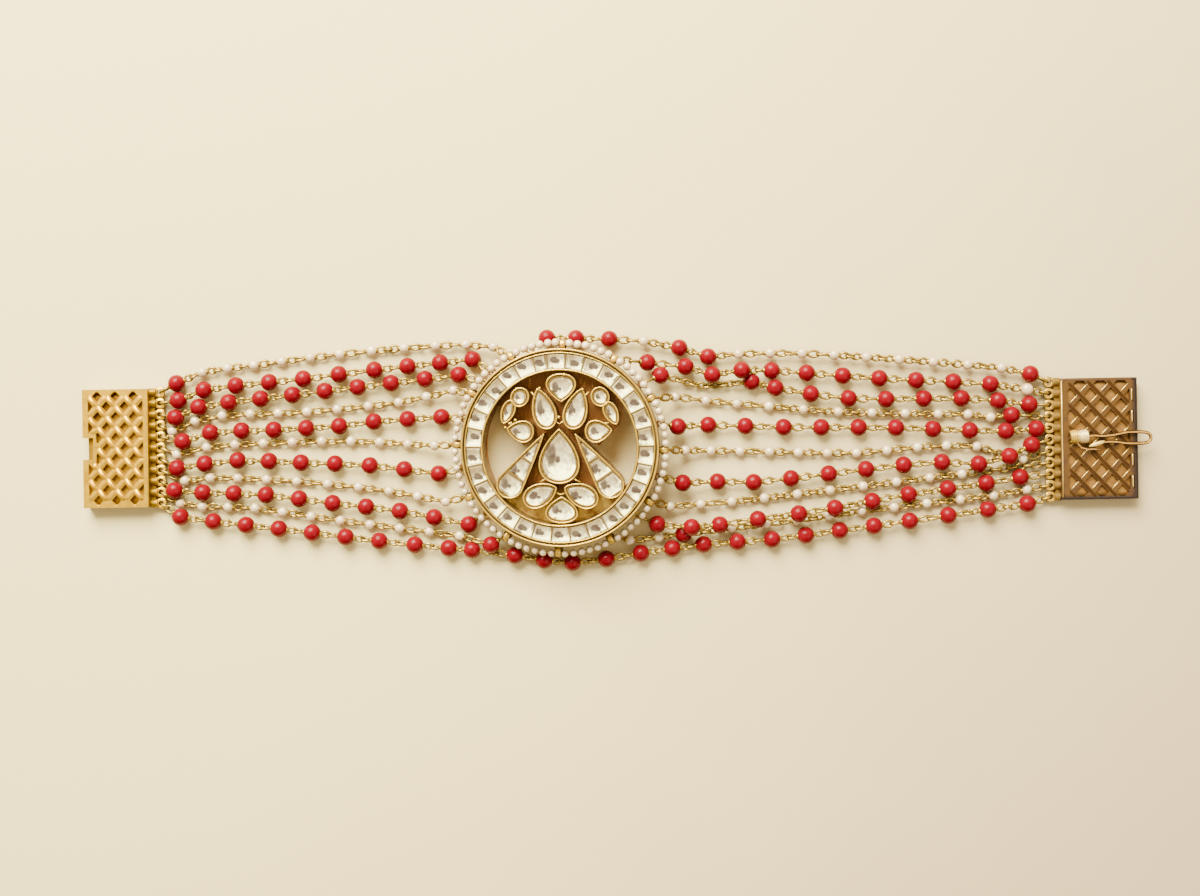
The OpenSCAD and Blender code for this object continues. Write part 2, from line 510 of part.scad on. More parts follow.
module clasp_box() {
    color(gold) translate([box_at[0], box_at[1], 0]) rotate([0, 0, clasp_turn]) {
        difference() {
            translate([-box_l / 2, -box_w / 2, 0]) cube([box_l, box_w, box_h]);
            translate([-box_l / 2 - 1, -box_w / 2 + clasp_t, clasp_t])
                cube([box_l + 1 - clasp_t, box_w - 2 * clasp_t, box_h - 2 * clasp_t]);
            translate([-box_l / 2 - 1, -notch_w / 2, -1]) cube([notch_l + 1, notch_w, box_h + 2]);
            translate([0, 0, box_h - clasp_t - 0.1]) difference() {
                lattice_cuts(box_step, box_bar, box_middle, [box_border[0] - box_l / 2, box_border[1] - box_w / 2],
                    [box_l / 2 - box_border[2], box_w / 2 - box_border[1]]);
                translate([-box_l / 2 - 1, -notch_w / 2 - notch_edge, -1])
                    cube([notch_l + notch_edge + 1, notch_w + 2 * notch_edge, 4]);
            }
        }
        translate([box_l / 2, 0, 0]) eye_row(box_eye_pitch);
        translate([-box_l / 2, -box_w / 2, 0]) cube([clasp_t, (box_w - notch_w) / 2, (box_h - mouth_h) / 2]);
        translate([-box_l / 2, notch_w / 2, 0]) cube([clasp_t, (box_w - notch_w) / 2, (box_h - mouth_h) / 2]);
    }
}
plate_step = [3.65, 3.88];
plate_middle = [0.3, 0.1];
plate_border = [1.2, 0.3, 1.3];
slit_l = 2.4;
slit_w = 0.35;
slit_pitch = 3.9;
stud_at = [-4, 0.4];
stud_r = 0.85;
stud_l = 3.2;
stud_bore_r = catch_d / 2 + 0.12;
stud_profile = [
    [stud_bore_r, 0], [stud_r - 0.2, 0], [stud_r, 0.3], [stud_r, 0.9], [stud_r - 0.2, 1.2],
    [stud_r - 0.2, stud_l - 1.2], [stud_r, stud_l - 0.9], [stud_r, stud_l - 0.3],
    [stud_r - 0.2, stud_l], [stud_bore_r, stud_l]];
catch_z = plate_h + stud_r - 0.25;
module clasp_plate() {
    color(dark_gold) translate([plate_at[0], plate_at[1], 0]) rotate([0, 0, clasp_turn]) {
        difference() {
            translate([-plate_l / 2, -plate_w / 2, 0]) cube([plate_l, plate_w, plate_h]);
            translate([-plate_l / 2 + clasp_t, -plate_w / 2 + clasp_t, clasp_t])
                cube([plate_l - 2 * clasp_t, plate_w - 2 * clasp_t, plate_h - 2 * clasp_t]);
            translate([0, 0, plate_h - clasp_t - 0.1])
                lattice_cuts(plate_step, plate_bar, plate_middle, [plate_border[0] - plate_l / 2, plate_border[1] - plate_w / 2],
                    [plate_l / 2 - plate_border[2], plate_w / 2 - plate_border[1]]);
            for (j = [-2, -1, 1, 2]) translate([plate_l / 2 - 1, j * slit_pitch - slit_l / 2, plate_h - clasp_t - 0.1])
                cube([slit_w, slit_l, 2]);
        }
        mirror([1, 0, 0]) translate([plate_l / 2, 0, 0]) eye_row(plate_eye_pitch);
        translate([stud_at[0] - stud_l / 2, stud_at[1], catch_z]) rotate([0, 90, 0])
            rotate_extrude($fn = 24) polygon(stud_profile);
    }
}

// The catch: a sprung hairpin of wire, held in the stud on the plate
catch_reach = 9.13;
catch_route = [
    [-3.6, 0.4], [-2.2, 0.4], [-1.2, 0.6], [0.2, 0.4], [2.4, 0.6], [4.6, 1.05], [7, 1.1], [8.3, 0.95],
    [catch_reach - 0.3, 0.5], [catch_reach - 0.05, 0], [catch_reach - 0.3, -0.5], [8.3, -0.9], [7, -1], [4.6, -0.95], [2.4, -0.6],
    [0.8, -0.6], [-0.4, -0.95], [-1.9, -1.4]];
module catch_wire() {
    color(gold) translate([plate_at[0], plate_at[1], 0]) rotate([0, 0, clasp_turn])
        rotate([90, 0, 0]) swept_wire([for (p = catch_route) [p[0], catch_z, -p[1], catch_d / 2]], 8);
}

clasp_box();
clasp_plate();
catch_wire();
medallion_frame();
ring_stones();
flower_stone(0);  // top_stone
flower_stone(1);  // left_wing_stone
flower_stone(2);  // right_wing_stone
flower_stone(3);  // left_round_stone
flower_stone(4);  // right_round_stone
flower_stone(5);  // left_oval_stone
flower_stone(6);  // right_oval_stone
flower_stone(7);  // left_pear_stone
flower_stone(8);  // right_pear_stone
flower_stone(9);  // centre_stone
flower_stone(10);  // left_leaf_stone
flower_stone(11);  // right_leaf_stone
flower_stone(12);  // bottom_stone
petal_stone(0, 0);  // left_petal_tip_stone
petal_stone(0, 1);  // left_petal_middle_stone
petal_stone(0, 2);  // left_petal_end_stone
petal_stone(1, 0);  // right_petal_tip_stone
petal_stone(1, 1);  // right_petal_middle_stone
petal_stone(1, 2);  // right_petal_end_stone
pearl_strand(left_pearl_1);  // left_pearl_strand_1
pearl_strand(left_pearl_2);  // left_pearl_strand_2
pearl_strand(left_pearl_3);  // left_pearl_strand_3
pearl_strand(left_pearl_4);  // left_pearl_strand_4
pearl_strand(left_pearl_5);  // left_pearl_strand_5
pearl_strand(right_pearl_2);  // right_pearl_strand_2
pearl_strand(right_pearl_3);  // right_pearl_strand_3
pearl_strand(right_pearl_4);  // right_pearl_strand_4
pearl_strand(right_pearl_5);  // right_pearl_strand_5
coral_beads(left_coral_1);  // left_coral_beads_1
coral_beads(left_coral_2);  // left_coral_beads_2
coral_beads(left_coral_3);  // left_coral_beads_3
coral_beads(left_coral_4);  // left_coral_beads_4
coral_beads(left_coral_5);  // left_coral_beads_5
coral_beads(right_coral_1);  // right_coral_beads_1
coral_beads(right_coral_2);  // right_coral_beads_2
coral_beads(right_coral_3);  // right_coral_beads_3
coral_beads(right_coral_4);  // right_coral_beads_4
coral_beads(right_coral_5);  // right_coral_beads_5
coral_beads(lower_coral);  // lower_coral_beads
coral_beads(upper_strand);  // upper_coral_beads
coral_wire(left_coral_1);  // left_coral_wire_1
coral_wire(left_coral_2);  // left_coral_wire_2
coral_wire(left_coral_3);  // left_coral_wire_3
coral_wire(left_coral_4);  // left_coral_wire_4
coral_wire(left_coral_5);  // left_coral_wire_5
coral_wire(right_coral_1);  // right_coral_wire_1
coral_wire(right_coral_2);  // right_coral_wire_2
coral_wire(right_coral_3);  // right_coral_wire_3
coral_wire(right_coral_4);  // right_coral_wire_4
coral_wire(right_coral_5);  // right_coral_wire_5
coral_wire(lower_coral);  // lower_coral_wire
coral_wire(upper_strand);  // upper_wire
pearl_beads(upper_strand, pearl_r);  // upper_pearl_beads
pearl_beads(right_coral_1, large_pearl_d / 2);  // large_pearl
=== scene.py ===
"""An open kundan bracelet of coral, pearls and cut stones, lying flat on cream paper."""
import math

import bmesh
import bpy
import numpy as np
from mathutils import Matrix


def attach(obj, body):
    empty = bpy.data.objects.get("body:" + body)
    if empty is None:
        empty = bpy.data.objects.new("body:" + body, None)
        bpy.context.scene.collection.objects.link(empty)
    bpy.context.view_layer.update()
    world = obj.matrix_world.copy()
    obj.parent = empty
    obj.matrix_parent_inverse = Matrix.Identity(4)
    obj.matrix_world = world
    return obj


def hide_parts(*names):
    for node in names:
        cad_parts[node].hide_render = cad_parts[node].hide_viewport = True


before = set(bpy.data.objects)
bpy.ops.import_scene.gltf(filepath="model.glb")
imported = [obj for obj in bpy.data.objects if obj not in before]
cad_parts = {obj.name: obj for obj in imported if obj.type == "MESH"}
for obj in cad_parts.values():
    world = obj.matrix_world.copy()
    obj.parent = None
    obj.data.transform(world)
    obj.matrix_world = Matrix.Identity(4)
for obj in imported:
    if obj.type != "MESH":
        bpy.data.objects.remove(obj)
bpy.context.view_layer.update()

# The sheet of cream paper that the bracelet lies on, smooth with a faint fibre and mottle, and
# painted darker towards the lower right as painted shade. Soft window light from the top of the
# picture, and the camera straight above. All sizes are in mm, and all angles in radians unless a
# name or comment says degrees.
paper_colour, paper_shade = (0.95, 0.82, 0.37), (0.62, 0.48, 0.29)
paper_reach = 2500.0
camera_at, lens = (-3.06, 0.45, 261.5), 43.3
window_way, straight_up = (-0.28, 0.54, 0.79), (0.0, 0.0, 1.0)
sky_far, sky_near, sky_above = (0.2, 0.16, 0.1), (1.25, 1.08, 0.8), (0.5, 0.38, 0.26)
# Each lamp: name, place, size, watts and colour
lamps = (("window", (-160, 390, 365), 380, 17.6, (1.0, 0.91, 0.74)),
         ("fill", (330, -200, 400), 420, 1.0, (1.0, 0.88, 0.72)))


class Shade:
    """One socket of a material's nodes. A sum or product of shades and numbers adds Math nodes."""

    def __init__(self, tree, socket=None):
        self.tree, self.socket = tree, socket

    def node(self, kind, inputs=None, out=0, **settings):
        """Adds a node of this kind: its settings first, then its inputs."""
        made = self.tree.nodes.new(kind)
        for name, value in settings.items():
            setattr(made, name, value)
        self.fill(made.inputs, inputs or {})
        return Shade(self.tree, made.outputs[out])

    def fill(self, sockets, values):
        """Links each socket to its shade, or sets it to its number or colour."""
        for name, value in values.items():
            if isinstance(value, Shade):
                self.tree.links.new(value.socket, sockets[name])
            elif sockets[name].type == "RGBA":
                sockets[name].default_value = (*value, 1)
            else:
                sockets[name].default_value = value

    def calc(self, operation, a, b=0.0):
        return self.node("ShaderNodeMath", {0: a, 1: b}, operation=operation)

    def __abs__(self):
        return self.calc("ABSOLUTE", self)

    def __add__(self, other):
        return self.calc("ADD", self, other)

    def __sub__(self, other):
        return self.calc("SUBTRACT", self, other)

    def __rsub__(self, other):
        return self.calc("SUBTRACT", other, self)

    def __mul__(self, other):
        return self.calc("MULTIPLY", self, other)

    __radd__, __rmul__ = __add__, __mul__

    def step(self, low, high):
        """0 where the shade is at low or under, 1 at high or over, and smooth between."""
        return self.node("ShaderNodeMapRange", {0: self, 1: low, 2: high},
                         interpolation_type="SMOOTHSTEP")

    def mix(self, colour_a, colour_b):
        """colour_a where the shade is 0 and colour_b where it is 1."""
        return self.node("ShaderNodeMix", {0: self, 6: colour_a, 7: colour_b}, out=2,
                         data_type="RGBA")

    def noise(self, size, detail=3.0, stretch=(1, 1, 1), seed=0.0):
        """Cloudy noise from 0 to 1 on Object coordinates, with lumps of this size in mm."""
        place = self.node("ShaderNodeTexCoord", out=3)
        place = self.node("ShaderNodeMapping", {"Vector": place, "Location": (seed, seed, seed),
                                                "Scale": tuple(1000 / size * s for s in stretch)})
        return self.node("ShaderNodeTexNoise", {"Vector": place, "Scale": 1.0, "Detail": detail})

    def place(self, axis):
        """The Object coordinate along axis 0, 1 or 2, in mm."""
        place = self.node("ShaderNodeTexCoord", out=3)
        return self.node("ShaderNodeSeparateXYZ", {0: place}, out=axis) * 1000

    def mark(self, name, axis):
        """One number of a mark that a piece's mesh carries at each point."""
        kept = self.node("ShaderNodeAttribute", out=1, attribute_name=name)
        return self.node("ShaderNodeSeparateXYZ", {0: kept}, out=axis)

    def rise(self, marked=True):
        """How far the surface looks up, from -1 to 1: a mark of the pieces made here. A node of
        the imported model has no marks, so there it is the normal's own height."""
        if marked:
            return self.mark("rise", 0)
        normal = self.node("ShaderNodeNewGeometry", out=1)
        return self.node("ShaderNodeSeparateXYZ", {0: normal}, out=2)


def start(name):
    """A new material, as a shade that has no socket yet."""
    made = bpy.data.materials.new(name)
    made.use_nodes = True
    shade = Shade(made.node_tree)
    shade.material = made
    return shade


def finish(shade, colour, roughness, bump, depth, **more):
    """Sets a material's own shader. depth is the bump's depth in mm, and more holds other sockets,
    with an underscore for each space."""
    bumps = {"Height": bump, "Distance": depth / 1000, "Strength": 1.0}
    shade.fill(shade.tree.nodes["Principled BSDF"].inputs,
               {"Base Color": colour, "Roughness": roughness,
                "Normal": shade.node("ShaderNodeBump", bumps),
                **{name.replace("_", " "): value for name, value in more.items()}})
    return shade.material


def made_mesh(name, parts, smooth=True, marks=None, face_marks=None):
    """Joins parts, each (points in mm, lists of faces' corners), into one object in metres, and
    turns every face outwards. The mark rise keeps how far each point's surface looks up."""
    points = np.vstack([p for p, _ in parts]) / 1000
    first = np.cumsum([0] + [len(p) for p, _ in parts[:-1]])
    faces = [face for (_, lists), n in zip(parts, first) for some in lists
             for face in (np.asarray(some) + n).tolist()]
    mesh = bpy.data.meshes.new(name)
    mesh.from_pydata(points.tolist(), [], faces)
    if len(faces) > 1:
        shell = bmesh.new()
        shell.from_mesh(mesh)
        bmesh.ops.recalc_face_normals(shell, faces=shell.faces)
        shell.to_mesh(mesh)
        shell.free()
    mesh.polygons.foreach_set("use_smooth", np.full(len(faces), smooth))
    mesh.update()
    normals = np.zeros(3 * len(mesh.vertices))
    mesh.vertices.foreach_get("normal", normals)
    marks = {"rise": np.repeat(normals[2::3, None], 3, 1), **(marks or {})}
    for domain, group in (("POINT", marks), ("FACE", face_marks)):
        for mark, values in (group or {}).items():
            kept = mesh.attributes.new(mark, "FLOAT_VECTOR", domain)
            kept.data.foreach_set("vector", np.asarray(values, float).ravel())
    mesh.update()
    made = bpy.data.objects.new(name, mesh)
    bpy.context.scene.collection.objects.link(made)
    return made


paper = start("paper")
fibre = paper.noise(0.35, 4.0)
mottle = paper.noise(38.0, 2.0)
# Painted shade: the paper turns darker towards the lower right, with its mottle on top
across = (paper.place(0) * 0.005 - paper.place(1) * 0.003 + mottle * 0.2).step(-0.2, 1.1)
paper_look = finish(paper, (across + fibre * 0.08).mix(paper_colour, paper_shade), 0.75,
                    bump=fibre * 0.6 + paper.noise(2.5, 2.0) * 0.4, depth=0.03)
corners = np.array([(-1, -1, 0), (1, -1, 0), (1, 1, 0), (-1, 1, 0)]) * paper_reach
sheet = made_mesh("paper", [(corners, [[(0, 1, 2, 3)]])])
sheet.data.materials.append(paper_look)

world = bpy.data.worlds.new("room")
world.use_nodes = True
room = Shade(world.node_tree)


def towards(way):
    """How far the sky lies towards a way: the cosine of the angle between."""
    return room.node("ShaderNodeVectorMath", {0: room.node("ShaderNodeTexCoord"), 1: way},
                     out=1, operation="DOT_PRODUCT")


sky = towards(window_way).step(-0.1, 0.95).mix(sky_far, sky_near)
sky = towards(straight_up).step(0.8, 0.96).mix(sky, sky_above)
world.node_tree.links.new(sky.socket, world.node_tree.nodes["Background"].inputs[0])
bpy.context.scene.world = world
for name, at, size, power, colour in lamps:
    lamp = bpy.data.lights.new(name, "AREA")
    lamp.energy, lamp.size, lamp.color = power, size / 1000, colour
    held = bpy.data.objects.new(name, lamp)
    held.location = np.array(at) / 1000
    way = -np.array(at, float)
    held.rotation_euler = (math.atan2(math.hypot(way[0], way[1]), -way[2]), 0,
                           math.atan2(way[1], way[0]) - math.pi / 2)
    bpy.context.scene.collection.objects.link(held)

eye = bpy.data.cameras.new("camera")
eye.sensor_width, eye.lens, eye.clip_start = 36.0, lens, 0.01
seen_from = bpy.data.objects.new("camera", eye)
seen_from.location = np.array(camera_at) / 1000
bpy.context.scene.collection.objects.link(seen_from)
bpy.context.scene.camera = seen_from

# The box half of the clasp: a hollow box of pale satin gold with a pierced diamond lattice, its
# gold painted darker low in its recesses as painted shade; cast bars on the lattice, the falling
# ones painted bright as painted highlight; and an inner sheet soldered in under it, painted
# darker towards its upper left as painted shade.
pale_gold, worn_gold, box_recess_shade_gold = (0.66, 0.39, 0.008), (0.47, 0.26, 0.008), (0.24, 0.12, 0.015)
box_at = np.array([-89.85, 0.35])
box_l, box_w, box_h = 11.7, 21.2, 3.0
clasp_turn = math.radians(1.0)
# The notch at the outer end: its depth and half its width
notch_l, notch_half = 1.9, 1.95
# The lattice of the lid: steps and middle, its lower and upper corner, and the bars' width
box_lattice = ((3.23, 3.74), (0.04, 0.06), (-4.82, -9.3), (4.9, 9.42), 1.0)
# The bars stay right of this x or this far from the middle line, clear of the notch
off_notch, shortest_bar, edge_r = (-3.4, 2.5), 0.6, 0.3


def piece(name, parts, look, smooth=True, marks=None, replaces=(), face_marks=None):
    """A mesh that rides on the bracelet, in the finish it is given."""
    made = made_mesh(name, parts, smooth, marks, face_marks)
    made.data.materials.append(look)
    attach(made, "root")
    if replaces:
        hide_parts(*replaces)


def wear(node, look):
    """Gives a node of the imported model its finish."""
    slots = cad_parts[node].data.materials
    slots.clear()
    slots.append(look)


def turned(xy, angle):
    """Points turned about the origin by an angle in radians."""
    x, y = np.moveaxis(np.asarray(xy, float), -1, 0)
    return np.stack([x * math.cos(angle) - y * math.sin(angle),
                     x * math.sin(angle) + y * math.cos(angle)], -1)


def lifted(xy, z):
    """Flat points at a height, or each at its own."""
    return np.concatenate([xy, np.broadcast_to(z, (*np.shape(xy)[:-1], 1))], -1)


def on_clasp(xy, at, z):
    """Points of a level clasp half with its middle at the origin, turned and put in its place."""
    return lifted(turned(xy, clasp_turn) + at, z)


def net(rows, columns, wrap_rows=False, wrap_columns=True):
    """Corners of the four-sided faces of a grid of points, row by row."""
    row = np.arange(rows if wrap_rows else rows - 1)[:, None]
    column = np.arange(columns if wrap_columns else columns - 1)[None]
    after, beside = (row + 1) % rows, (column + 1) % columns
    return np.stack([row * columns + column, row * columns + beside,
                     after * columns + beside, after * columns + column], -1).reshape(-1, 4)


def tube(rings, sides):
    """Faces of a row of rings of points, closed at both ends."""
    last = (rings - 1) * sides
    return [net(rings, sides), [range(sides - 1, -1, -1)], [range(last, last + sides)]]


def turns(n):
    """Angles of n points round a circle."""
    return np.arange(n) / n * math.tau


def unit(v):
    """Vectors of length 1."""
    v = np.asarray(v, float)
    return v / np.linalg.norm(v, axis=-1, keepdims=True)


def wire(path, radius, sides=6, closed=False, up=(0, 0, 1), flat=1.0):
    """A wire along a path: each ring is the path's point plus radius times
    (cos a * side + flat * sin a * rise), with side square to the path and to up."""
    path = np.asarray(path, float)
    way = np.roll(path, -1, 0) - np.roll(path, 1, 0) if closed else np.gradient(path, axis=0)
    way = unit(way)
    side = unit(np.cross(way, up))
    rise = np.cross(side, way)
    a, radius = turns(sides), np.broadcast_to(radius, len(path))[:, None, None]
    rings = path[:, None] + radius * (np.cos(a)[None, :, None] * side[:, None]
                                      + flat * np.sin(a)[None, :, None] * rise[:, None])
    faces = [net(len(path), sides, True)] if closed else tube(len(path), sides)
    return rings.reshape(-1, 3), faces


def gold(name, colour, dark, roughness, grain=0.9, shade_rise=(0.05, 0.7),
         shadow=(0.08, 0.045, 0.012)):
    """Polished or satin gold: soft clouds of tone, fine scratches and small dents. Where the
    surface looks sideways or down it is painted dark and brown as painted shade: in full up to
    the first of the two rises given, and gone from the second."""
    made = start(name)
    cloud, scratch = made.noise(grain), made.noise(0.12, 2.0, (1, 12, 1), 5.0)
    # Painted shade: darker and browner where the surface looks sideways or down
    lit_by_rise = made.rise().step(*shade_rise)
    tone = (cloud.step(0.35, 0.75) * 0.8).mix(colour, dark)
    gloss = cloud * 0.18 + scratch * 0.1 + (roughness - 0.12)
    return finish(made, lit_by_rise.mix(shadow, tone), gloss, bump=cloud * 0.7 + scratch * 0.3,
                  depth=0.035, Metallic=0.7, Specular_IOR_Level=0.08)


box_look = start("pale_satin_gold")
cloud, brush = box_look.noise(1.1), box_look.noise(0.1, 2.0, (1, 10, 1), 3.0)
# Painted shade: lower down in the box its gold turns darker
depth_in = (box_look.place(2) + cloud * 0.3).step(1.6, 2.9)
wall_x = box_at[0] + box_l / 2
beyond = box_look.place(0).step(wall_x - 0.1, wall_x + 0.05)
tabs = box_look.place(0).step(wall_x + 1.0, wall_x + 1.15)
lid = depth_in.mix(box_recess_shade_gold, cloud.step(0.3, 0.8).mix(pale_gold, worn_gold))
eye_row = tabs.mix((0.27, 0.155, 0.006), (0.45, 0.26, 0.01))
box_gold = finish(box_look, beyond.mix(lid, eye_row), 0.36 + brush * 0.16 - cloud * 0.08,
                  bump=cloud * 0.6 + brush * 0.4, depth=0.04, Metallic=0.6,
                  Specular_IOR_Level=0.08)
wear("clasp_box", box_gold)


def lattice_bars(at, lattice, top, lean, rise, dip, keep_off=None):
    """Ridges along one family of a lattice's lines, which lean up (1) or down (-1) to the right,
    cut off by its rectangle and by another at the notch. Across a bar its height is
    rise * sqrt(1 - t ** 2), less by dip * (1 - |sin(pi * s / spacing)| ** 0.6) along it, and it
    tapers off over its last 0.5 mm."""
    step, middle, low, high, bar = lattice
    parts, across, half_step = [], np.linspace(-1, 1, 9), math.hypot(*step) / 2
    around = 2 * len(across)
    way = unit([step[0], lean * step[1]])
    side = np.array([-way[1], way[0]])
    for k in range(-12, 13):
        point = np.array([middle[0] + k * step[0], middle[1]])
        reach_x = [(edge - point[0]) / way[0] for edge in (low[0], high[0])]
        reach_y = [(edge - point[1]) / way[1] for edge in (low[1], high[1])]
        near, far = max(min(reach_x), min(reach_y)), min(max(reach_x), max(reach_y))
        s = np.linspace(near, far, max(3, int((far - near) / half_step * 9)))
        line = point + s[:, None] * way
        if keep_off:
            s = s[(line[:, 0] > keep_off[0]) | (np.abs(line[:, 1]) > keep_off[1])]
        if far - near < shortest_bar:
            continue
        for s in np.split(s, np.flatnonzero(np.diff(s) > half_step / 4) + 1):
            if len(s) < 4:
                continue
            swell = 1 - dip * (1 - np.abs(np.sin(s / half_step * math.pi)) ** 0.6)
            swell *= np.clip(np.minimum(s - s[0], s[-1] - s) / 0.5, 0.1, 1)
            height = rise * swell[:, None] * np.sqrt(1 - across ** 2)
            xy = point + s[:, None, None] * way + (across * bar / 2)[None, :, None] * side
            grid = np.concatenate([on_clasp(xy, at, (top + height)[..., None]),
                                   on_clasp(xy[:, ::-1], at, top - 0.12)], 1)
            last = around * len(s) - 1
            parts.append((grid.reshape(-1, 3), [net(len(s), around)[:, ::-1], [range(around)],
                                                [range(last, last - around, -1)]]))
    return parts


# The falling bars are painted brighter than the rising ones, as painted highlight and shade
bright_bar = gold("bright_bar_gold", (1.0, 0.56, 0.004), (0.78, 0.43, 0.004), 0.32,
                  shade_rise=(0.3, 0.9), shadow=(0.3, 0.15, 0.01))
shaded_bar = gold("shaded_bar_gold", (0.6, 0.35, 0.008), (0.46, 0.26, 0.01), 0.45,
                shade_rise=(0.2, 0.95), shadow=(0.2, 0.1, 0.008))
for name, lean, rise, dip, look in (("box_falling_bars", -1, 0.5, 0.97, bright_bar),
                                    ("box_rising_bars", 1, 0.16, 0.1, shaded_bar)):
    bars = lattice_bars(box_at, box_lattice, box_h - 0.05, lean, rise, dip, off_notch)
    piece(name, bars, look)


def inner_sheet(at, size, z):
    """A thin sheet of gold inside a clasp half, dished a little: z + 0.08 * cos(9 x) * cos(14 y),
    with x and y from -1 to 1 across it."""
    n, m = 13, 19
    x, y = np.meshgrid(np.linspace(-1, 1, n), np.linspace(-1, 1, m), indexing="ij")
    dish = z + 0.08 * np.cos(x * 9) * np.cos(y * 14)
    upper = on_clasp(np.stack([x * size[0] / 2, y * size[1] / 2], -1), at, dish[..., None])
    upper, top, under = upper.reshape(-1, 3), net(n, m, wrap_columns=False), n * m
    rim = np.concatenate([np.arange(m), np.arange(1, n) * m + m - 1,
                          (n - 1) * m + np.arange(m - 2, -1, -1), np.arange(n - 2, 0, -1) * m])
    beside = np.roll(rim, -1)
    return (np.vstack([upper, upper - [0, 0, 0.1]]),
            [top[:, ::-1], top + under, np.stack([rim, beside, beside + under, rim + under], -1)])


def matt_tone(cloud, grit, colour, dark):
    """The inner sheets' tone: clouds with a fine grit in them."""
    return (cloud.step(0.35, 0.7) * 0.7 + grit * 0.3).mix(colour, dark)


sheet_look = start("box_inner_gold")
cloud, grit = sheet_look.noise(2.2), sheet_look.noise(0.2, 3.0, seed=2.0)
tone = matt_tone(cloud, grit, (0.38, 0.215, 0.01), (0.24, 0.125, 0.007))
# Painted shade: the sheet turns darker towards its upper left
shaded_upper_left = (sheet_look.place(1) * 1.5 - sheet_look.place(0)).step(93.4, 103.4)
box_inner = finish(sheet_look, shaded_upper_left.mix(tone, (0.13, 0.06, 0.004)), 0.5, bump=grit,
                   depth=0.03, Metallic=0.5, Specular_IOR_Level=0.03)
box_sheet = inner_sheet(box_at + [0.2, 0], (box_l - 1.2, box_w - 1.4), 2.2)
piece("box_inner_sheet", [box_sheet], box_inner)
x, y, cut_x = box_l / 2, box_w / 2, notch_l - box_l / 2
corners = [(cut_x, -notch_half), (-x, -notch_half), (-x, -y), (x, -y), (x, y), (-x, y),
           (-x, notch_half), (cut_x, notch_half)]
inward = [(1, -1), (1, -1), (1, 1), (-1, 1), (-1, -1), (1, -1), (1, 1), (1, 1)]


def rounded_edge(at, corners, inward, z):
    """A round moulding on the top edge of a clasp half: a wire through the corners, each drawn in
    by its radius and parted into three points, so that it turns round."""
    drawn = np.array(corners, float) + np.array(inward) * edge_r
    path = []
    for before, here, after in zip(np.roll(drawn, 1, 0), drawn, np.roll(drawn, -1, 0)):
        arm, leg = unit(before - here) * edge_r, unit(after - here) * edge_r
        path += [here + arm, here + arm * 0.3 + leg * 0.3, here + leg]
    return wire(on_clasp(np.array(path), at, z), edge_r, 8, closed=True)


edge_gold = gold("edge_gold", (0.6, 0.35, 0.015), (0.44, 0.25, 0.012), 0.34, shade_rise=(-0.3, 0.5))
box_edge = rounded_edge(box_at, corners, inward, box_h - 0.29)
piece("box_edge", [box_edge], edge_gold)

# The plate half of the clasp: darker, brown and worn gold, painted darker low in its recesses and
# along its right and bottom edges as painted shade, with low bars whose lower right edges carry
# painted highlights, and four slits at its outer end and a line along its inner one, painted
# bright as highlights.
plate_at = np.array([86.55, 2.15])
plate_l, plate_w, plate_h = 13.7, 21.8, 2.6
plate_lattice = ((3.65, 3.88), (0.3, 0.1), (-5.65, -10.6), (5.55, 10.6), 0.72)
slit_pitch = 3.9
brown_gold, worn_brown, plate_recess_shade_brown = (0.15, 0.079, 0.024), (0.11, 0.06, 0.03), (0.1, 0.045, 0.015)
edge_shade_brown = (0.05, 0.032, 0.024)
plate_look = start("worn_brown_gold")
cloud, spots = plate_look.noise(1.6), plate_look.noise(0.35, 3.0, seed=9.0)
# Painted shade: lower down in the plate its gold turns darker
deep = (plate_look.place(2) + spots * 0.3).step(1.5, 2.5)
lid = deep.mix(plate_recess_shade_brown, cloud.step(0.45, 0.7).mix(brown_gold, worn_brown))
# The right and bottom edges are painted darker and greyer, as painted shade
right, down = plate_look.place(0), 0 - plate_look.place(1)
grey = (right + spots * 0.6).step(92.4, 93.4) + (down + spots * 0.6).step(7.9, 9.0)
wall_x = plate_at[0] - plate_l / 2
beyond = right.step(wall_x - 0.05, wall_x + 0.1)
eye_row = right.step(wall_x - 1.15, wall_x - 1.0).mix((0.34, 0.22, 0.05), (0.25, 0.15, 0.03))
plate_gold = finish(plate_look, beyond.mix(eye_row, grey.mix(lid, edge_shade_brown)),
                    0.36 + spots * 0.25, bump=cloud * 0.5 + spots * 0.5, depth=0.05, Metallic=0.6,
                    Specular_IOR_Level=0.15)
wear("clasp_plate", plate_gold)
plate_bar_gold = gold("plate_bar_gold", (0.085, 0.04, 0.011), (0.058, 0.027, 0.008), 0.45, 1.4,
                      shade_rise=(0.5, 0.97), shadow=(0.03, 0.014, 0.005))
bars = [bar for lean, rise in ((-1, 0.1), (1, 0.04))
        for bar in lattice_bars(plate_at, plate_lattice, plate_h - 0.05, lean, rise, 0.3)]
piece("plate_lattice_bars", bars, plate_bar_gold)
sheet_look = start("plate_inner_gold")
cloud, grit = sheet_look.noise(2.0, seed=4.0), sheet_look.noise(0.25, 3.0, seed=2.0)
tone = matt_tone(cloud, grit, (0.4, 0.21, 0.05), (0.2, 0.1, 0.028))
plate_inner = finish(sheet_look, tone, 0.45, bump=grit, depth=0.03, Metallic=0.5,
                     Specular_IOR_Level=0.15)
plate_sheet = inner_sheet(plate_at, (plate_l - 1.1, plate_w - 1.1), 1.98)
piece("plate_inner_sheet", [plate_sheet], plate_inner)


